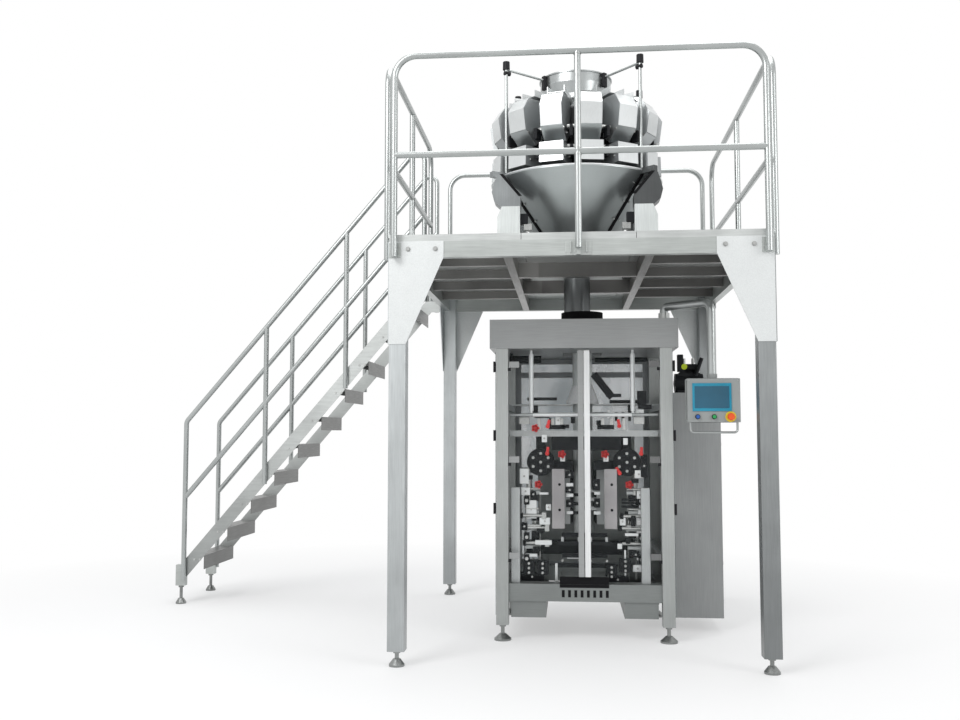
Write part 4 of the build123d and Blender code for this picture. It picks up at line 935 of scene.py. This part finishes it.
def rear_guard():
    """Tinted guard across the back of the bag former, with its frame."""
    post = 0.08
    bar = 0.04
    y = posts_high.y - 0.02
    left, right = posts_low.x + post, posts_high.x - post
    low, high = 0.36, header_bottom
    middle_x, middle_z = (left + right) / 2, (low + high) / 2
    sheet = bmesh.new()
    add_box(sheet, Vector((middle_x, y, middle_z)), (right - left, 0.005, high - low))
    piece("rear_guard_sheet", sheet, rear_tint)
    bars = bmesh.new()
    for x in (left + bar / 2, middle_x, right - bar / 2):
        add_box(bars, Vector((x, y - 0.014, middle_z)), (bar, 0.022, high - low), bevel=0.002)
    for z in (low + bar / 2, 1.05, high - 0.12, high - bar / 2):
        add_box(bars, Vector((middle_x, y - 0.014, z)), (right - left, 0.021, bar), bevel=0.002)
    piece("rear_guard_frame", bars, rear_bars)


def tray_face():
    """Dark tray front and the comb of slots on the front cross box."""
    low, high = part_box("base_cross_boxes")
    top = high.z
    slots = 8
    first_slot, slot_pitch = -0.105, 0.04
    middle = at(0.03, 0, 0).x
    into = bmesh.new()
    for slot in range(slots):
        x = at(first_slot + slot * slot_pitch, 0, 0).x
        add_box(into, Vector((x, low.y - 0.0006, top - 0.06)), (0.018, 0.002, 0.045), bevel=0.0008)
    add_box(into, Vector((middle, low.y - 0.001, top - 0.012)), (0.315, 0.003, 0.02), bevel=0.001)
    add_box(into, Vector((middle, low.y - 0.002, top + 0.024)), (0.313, 0.004, 0.05), bevel=0.0015)
    piece("tray_slots", into, black_rubber)


def motor_gear():
    """Cooling ribs, terminal box, hand lever, bright cap and glands on the film motor."""
    ribs = 9
    end_inset = 0.02
    low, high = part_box("film_motor")
    middle = (low + high) / 2
    rib_radius = (high.x - low.x) / 2 + 0.004
    into = bmesh.new()
    for rib in range(ribs):
        y = low.y + end_inset + rib * (high.y - low.y - 2 * end_inset) / (ribs - 1)
        add_disc(into, Vector((middle.x, y, middle.z)), to_rear, rib_radius, 0.006, 32)
    add_box(into, Vector((middle.x + 0.01, low.y + 0.07, high.z + 0.03)), (0.09, 0.10, 0.07), bevel=0.008)
    add_box(into, Vector((middle.x - 0.06, low.y + 0.03, high.z + 0.07)), (0.04, 0.05, 0.12), bevel=0.006)
    add_disc(into, Vector((middle.x + 0.04, low.y, middle.z + 0.05)), (0.3, -0.2, 0.9), 0.014, 0.13, 14)
    piece("motor_gear", into, dark_paint)
    into = bmesh.new()
    add_disc(into, Vector((middle.x - 0.035, low.y + 0.02, high.z + 0.045)), to_front, 0.02, 0.02, 20)
    piece("motor_cap", into, yellow_green)
    bright = bmesh.new()
    for shift in (-0.03, 0.03):
        add_disc(bright, Vector((middle.x + shift, low.y + 0.06, high.z + 0.065)), upward, 0.01, 0.04, 14)
    piece("motor_glands", bright, zinc)


drive_faces()
belt_faces()
jaw_gear()
film_gear()
rear_guard()
tray_face()
motor_gear()


def side_hinges():
    """Black hinges of the side covers, down the outside of both front posts."""
    levels = (0.84, 1.31, 1.757)
    leaf, knuckle = (0.016, 0.03, 0.06), 0.07
    into = bmesh.new()
    for x, side in ((posts_low.x, -1), (posts_high.x, 1)):
        for z in levels:
            add_box(into, Vector((x + side * leaf[0] / 2, posts_low.y + 0.03, z)), leaf, bevel=0.003)
            foot = Vector((x + side * 0.01, posts_low.y + 0.012, z - knuckle / 2))
            add_disc(into, foot, upward, 0.008, knuckle, 12)
    piece("cover_hinges", into, black_plastic)


def cabinet_face():
    """Door seam, quarter-turn locks and cooling slots of the cabinet."""
    side_inset, end_inset = 0.025, 0.04
    seam = bmesh.new()
    x = cabinet_high.x + 0.0006
    middle_y = (cabinet_low.y + cabinet_high.y) / 2
    middle_z = (cabinet_low.z + cabinet_high.z) / 2
    deep = cabinet_high.y - cabinet_low.y - 2 * side_inset
    tall = cabinet_high.z - cabinet_low.z - 2 * end_inset
    for y in (cabinet_low.y + side_inset, cabinet_high.y - side_inset):
        add_box(seam, Vector((x, y, middle_z)), (0.002, 0.003, tall))
    for z in (cabinet_low.z + end_inset, cabinet_high.z - end_inset):
        add_box(seam, Vector((x, middle_y, z)), (0.002, deep, 0.003))
    piece("cabinet_seam", seam, black_rubber)
    locks = bmesh.new()
    lock_levels = (0.45, 1.25)
    for z in lock_levels:
        add_disc(locks, Vector((x, cabinet_low.y + 0.055, z)), to_right, 0.014, 0.007, 20)
    piece("cabinet_locks", locks, zinc)
    slots = bmesh.new()
    slot_rows, slot_pitch = 10, 0.018
    for row in range(slot_rows):
        z = cabinet_low.z + 0.16 + row * slot_pitch
        add_box(slots, Vector((x, middle_y, z)), (0.002, 0.16, 0.007))
    piece("cabinet_slots", slots, black_rubber)


side_hinges()
cabinet_face()


# Stage
def stage_plane(name, size, colour, near, far, near_white):
    """A floor that keeps a pale shadow near the object and is seen plain white further out.

    near and far are distances from its middle. near_white is the share of plain white up to near, and past
    far it is all white.
    """
    mesh = bpy.data.meshes.new(name)
    half = size / 2
    corners = [(-half, -half, 0), (half, -half, 0), (half, half, 0), (-half, half, 0)]
    mesh.from_pydata(corners, [], [(0, 1, 2, 3)])
    made = bpy.data.objects.new(name, mesh)
    scene.collection.objects.link(made)
    floor, tree, shader = material(name)
    tree.links.new(ramp(tree, noise(tree, 0.8), ((0.3, tint(colour, 0.99)), (0.7, colour))),
                   shader.inputs["Base Color"])
    shader.inputs["Roughness"].default_value = 0.8
    place = node(tree, "ShaderNodeTexCoord")
    reach = node(tree, "ShaderNodeVectorMath", operation="LENGTH")
    tree.links.new(place.outputs["Object"], reach.inputs[0])
    away = spread(tree, reach.outputs["Value"], near_white, 1, near, far)
    shown = node(tree, "ShaderNodeMath", operation="MULTIPLY")
    tree.links.new(seen_directly(tree), shown.inputs[0])
    tree.links.new(away, shown.inputs[1])
    plain = node(tree, "ShaderNodeEmission")
    plain.inputs["Color"].default_value = (1, 1, 1, 1)
    plain.inputs["Strength"].default_value = 1
    blend = node(tree, "ShaderNodeMixShader")
    tree.links.new(shown.outputs[0], blend.inputs[0])
    tree.links.new(shader.outputs[0], blend.inputs[1])
    tree.links.new(plain.outputs[0], blend.inputs[2])
    tree.links.new(blend.outputs[0], tree.nodes["Material Output"].inputs["Surface"])
    mesh.materials.append(floor)


def seen_directly(tree):
    """1 for camera, glossy and transmission rays."""
    ray = node(tree, "ShaderNodeLightPath")
    seen = node(tree, "ShaderNodeMath", operation="MAXIMUM")
    seen_all = node(tree, "ShaderNodeMath", operation="MAXIMUM")
    tree.links.new(ray.outputs["Is Camera Ray"], seen.inputs[0])
    tree.links.new(ray.outputs["Is Glossy Ray"], seen.inputs[1])
    tree.links.new(seen.outputs[0], seen_all.inputs[0])
    tree.links.new(ray.outputs["Is Transmission Ray"], seen_all.inputs[1])
    return seen_all.outputs[0]


stage_plane("floor", 80, (0.93, 0.93, 0.93), near=2.4, far=5.2, near_white=0.45)


# Lights
def area_lamp(name, place, aim, size, power):
    """A rectangular lamp at one point that shines at another, both given from the platform."""
    data = bpy.data.lights.new(name, "AREA")
    data.shape = "RECTANGLE"
    data.size, data.size_y = size
    data.energy = power
    made = bpy.data.objects.new(name, data)
    made.location = at(*place)
    made.rotation_euler = (at(*aim) - at(*place)).to_track_quat("-Z", "Y").to_euler()
    scene.collection.objects.link(made)


area_lamp("key", (-5, -6, 7), aim=(0, 1, 2), size=(4, 4), power=420)
area_lamp("fill", (6, -4, 4), aim=(0, 1, 1.5), size=(3, 3), power=120)
area_lamp("top", (0, 1.5, 8), aim=(0, 1.5, 0), size=(6, 6), power=260)

# World
world = bpy.data.worlds.new("studio")
scene.world = world
world.use_nodes = True
sky = world.node_tree
sky.nodes.clear()
dim = node(sky, "ShaderNodeBackground")
dim.inputs["Color"].default_value = (0.96, 0.98, 1, 1)
dim.inputs["Strength"].default_value = 0.55
white = node(sky, "ShaderNodeBackground")
white.inputs["Color"].default_value = (1, 1, 1, 1)
white.inputs["Strength"].default_value = 1
either = node(sky, "ShaderNodeMixShader")
sky.links.new(seen_directly(sky), either.inputs[0])
sky.links.new(dim.outputs[0], either.inputs[1])
sky.links.new(white.outputs[0], either.inputs[2])
output = node(sky, "ShaderNodeOutputWorld")
sky.links.new(either.outputs[0], output.inputs["Surface"])
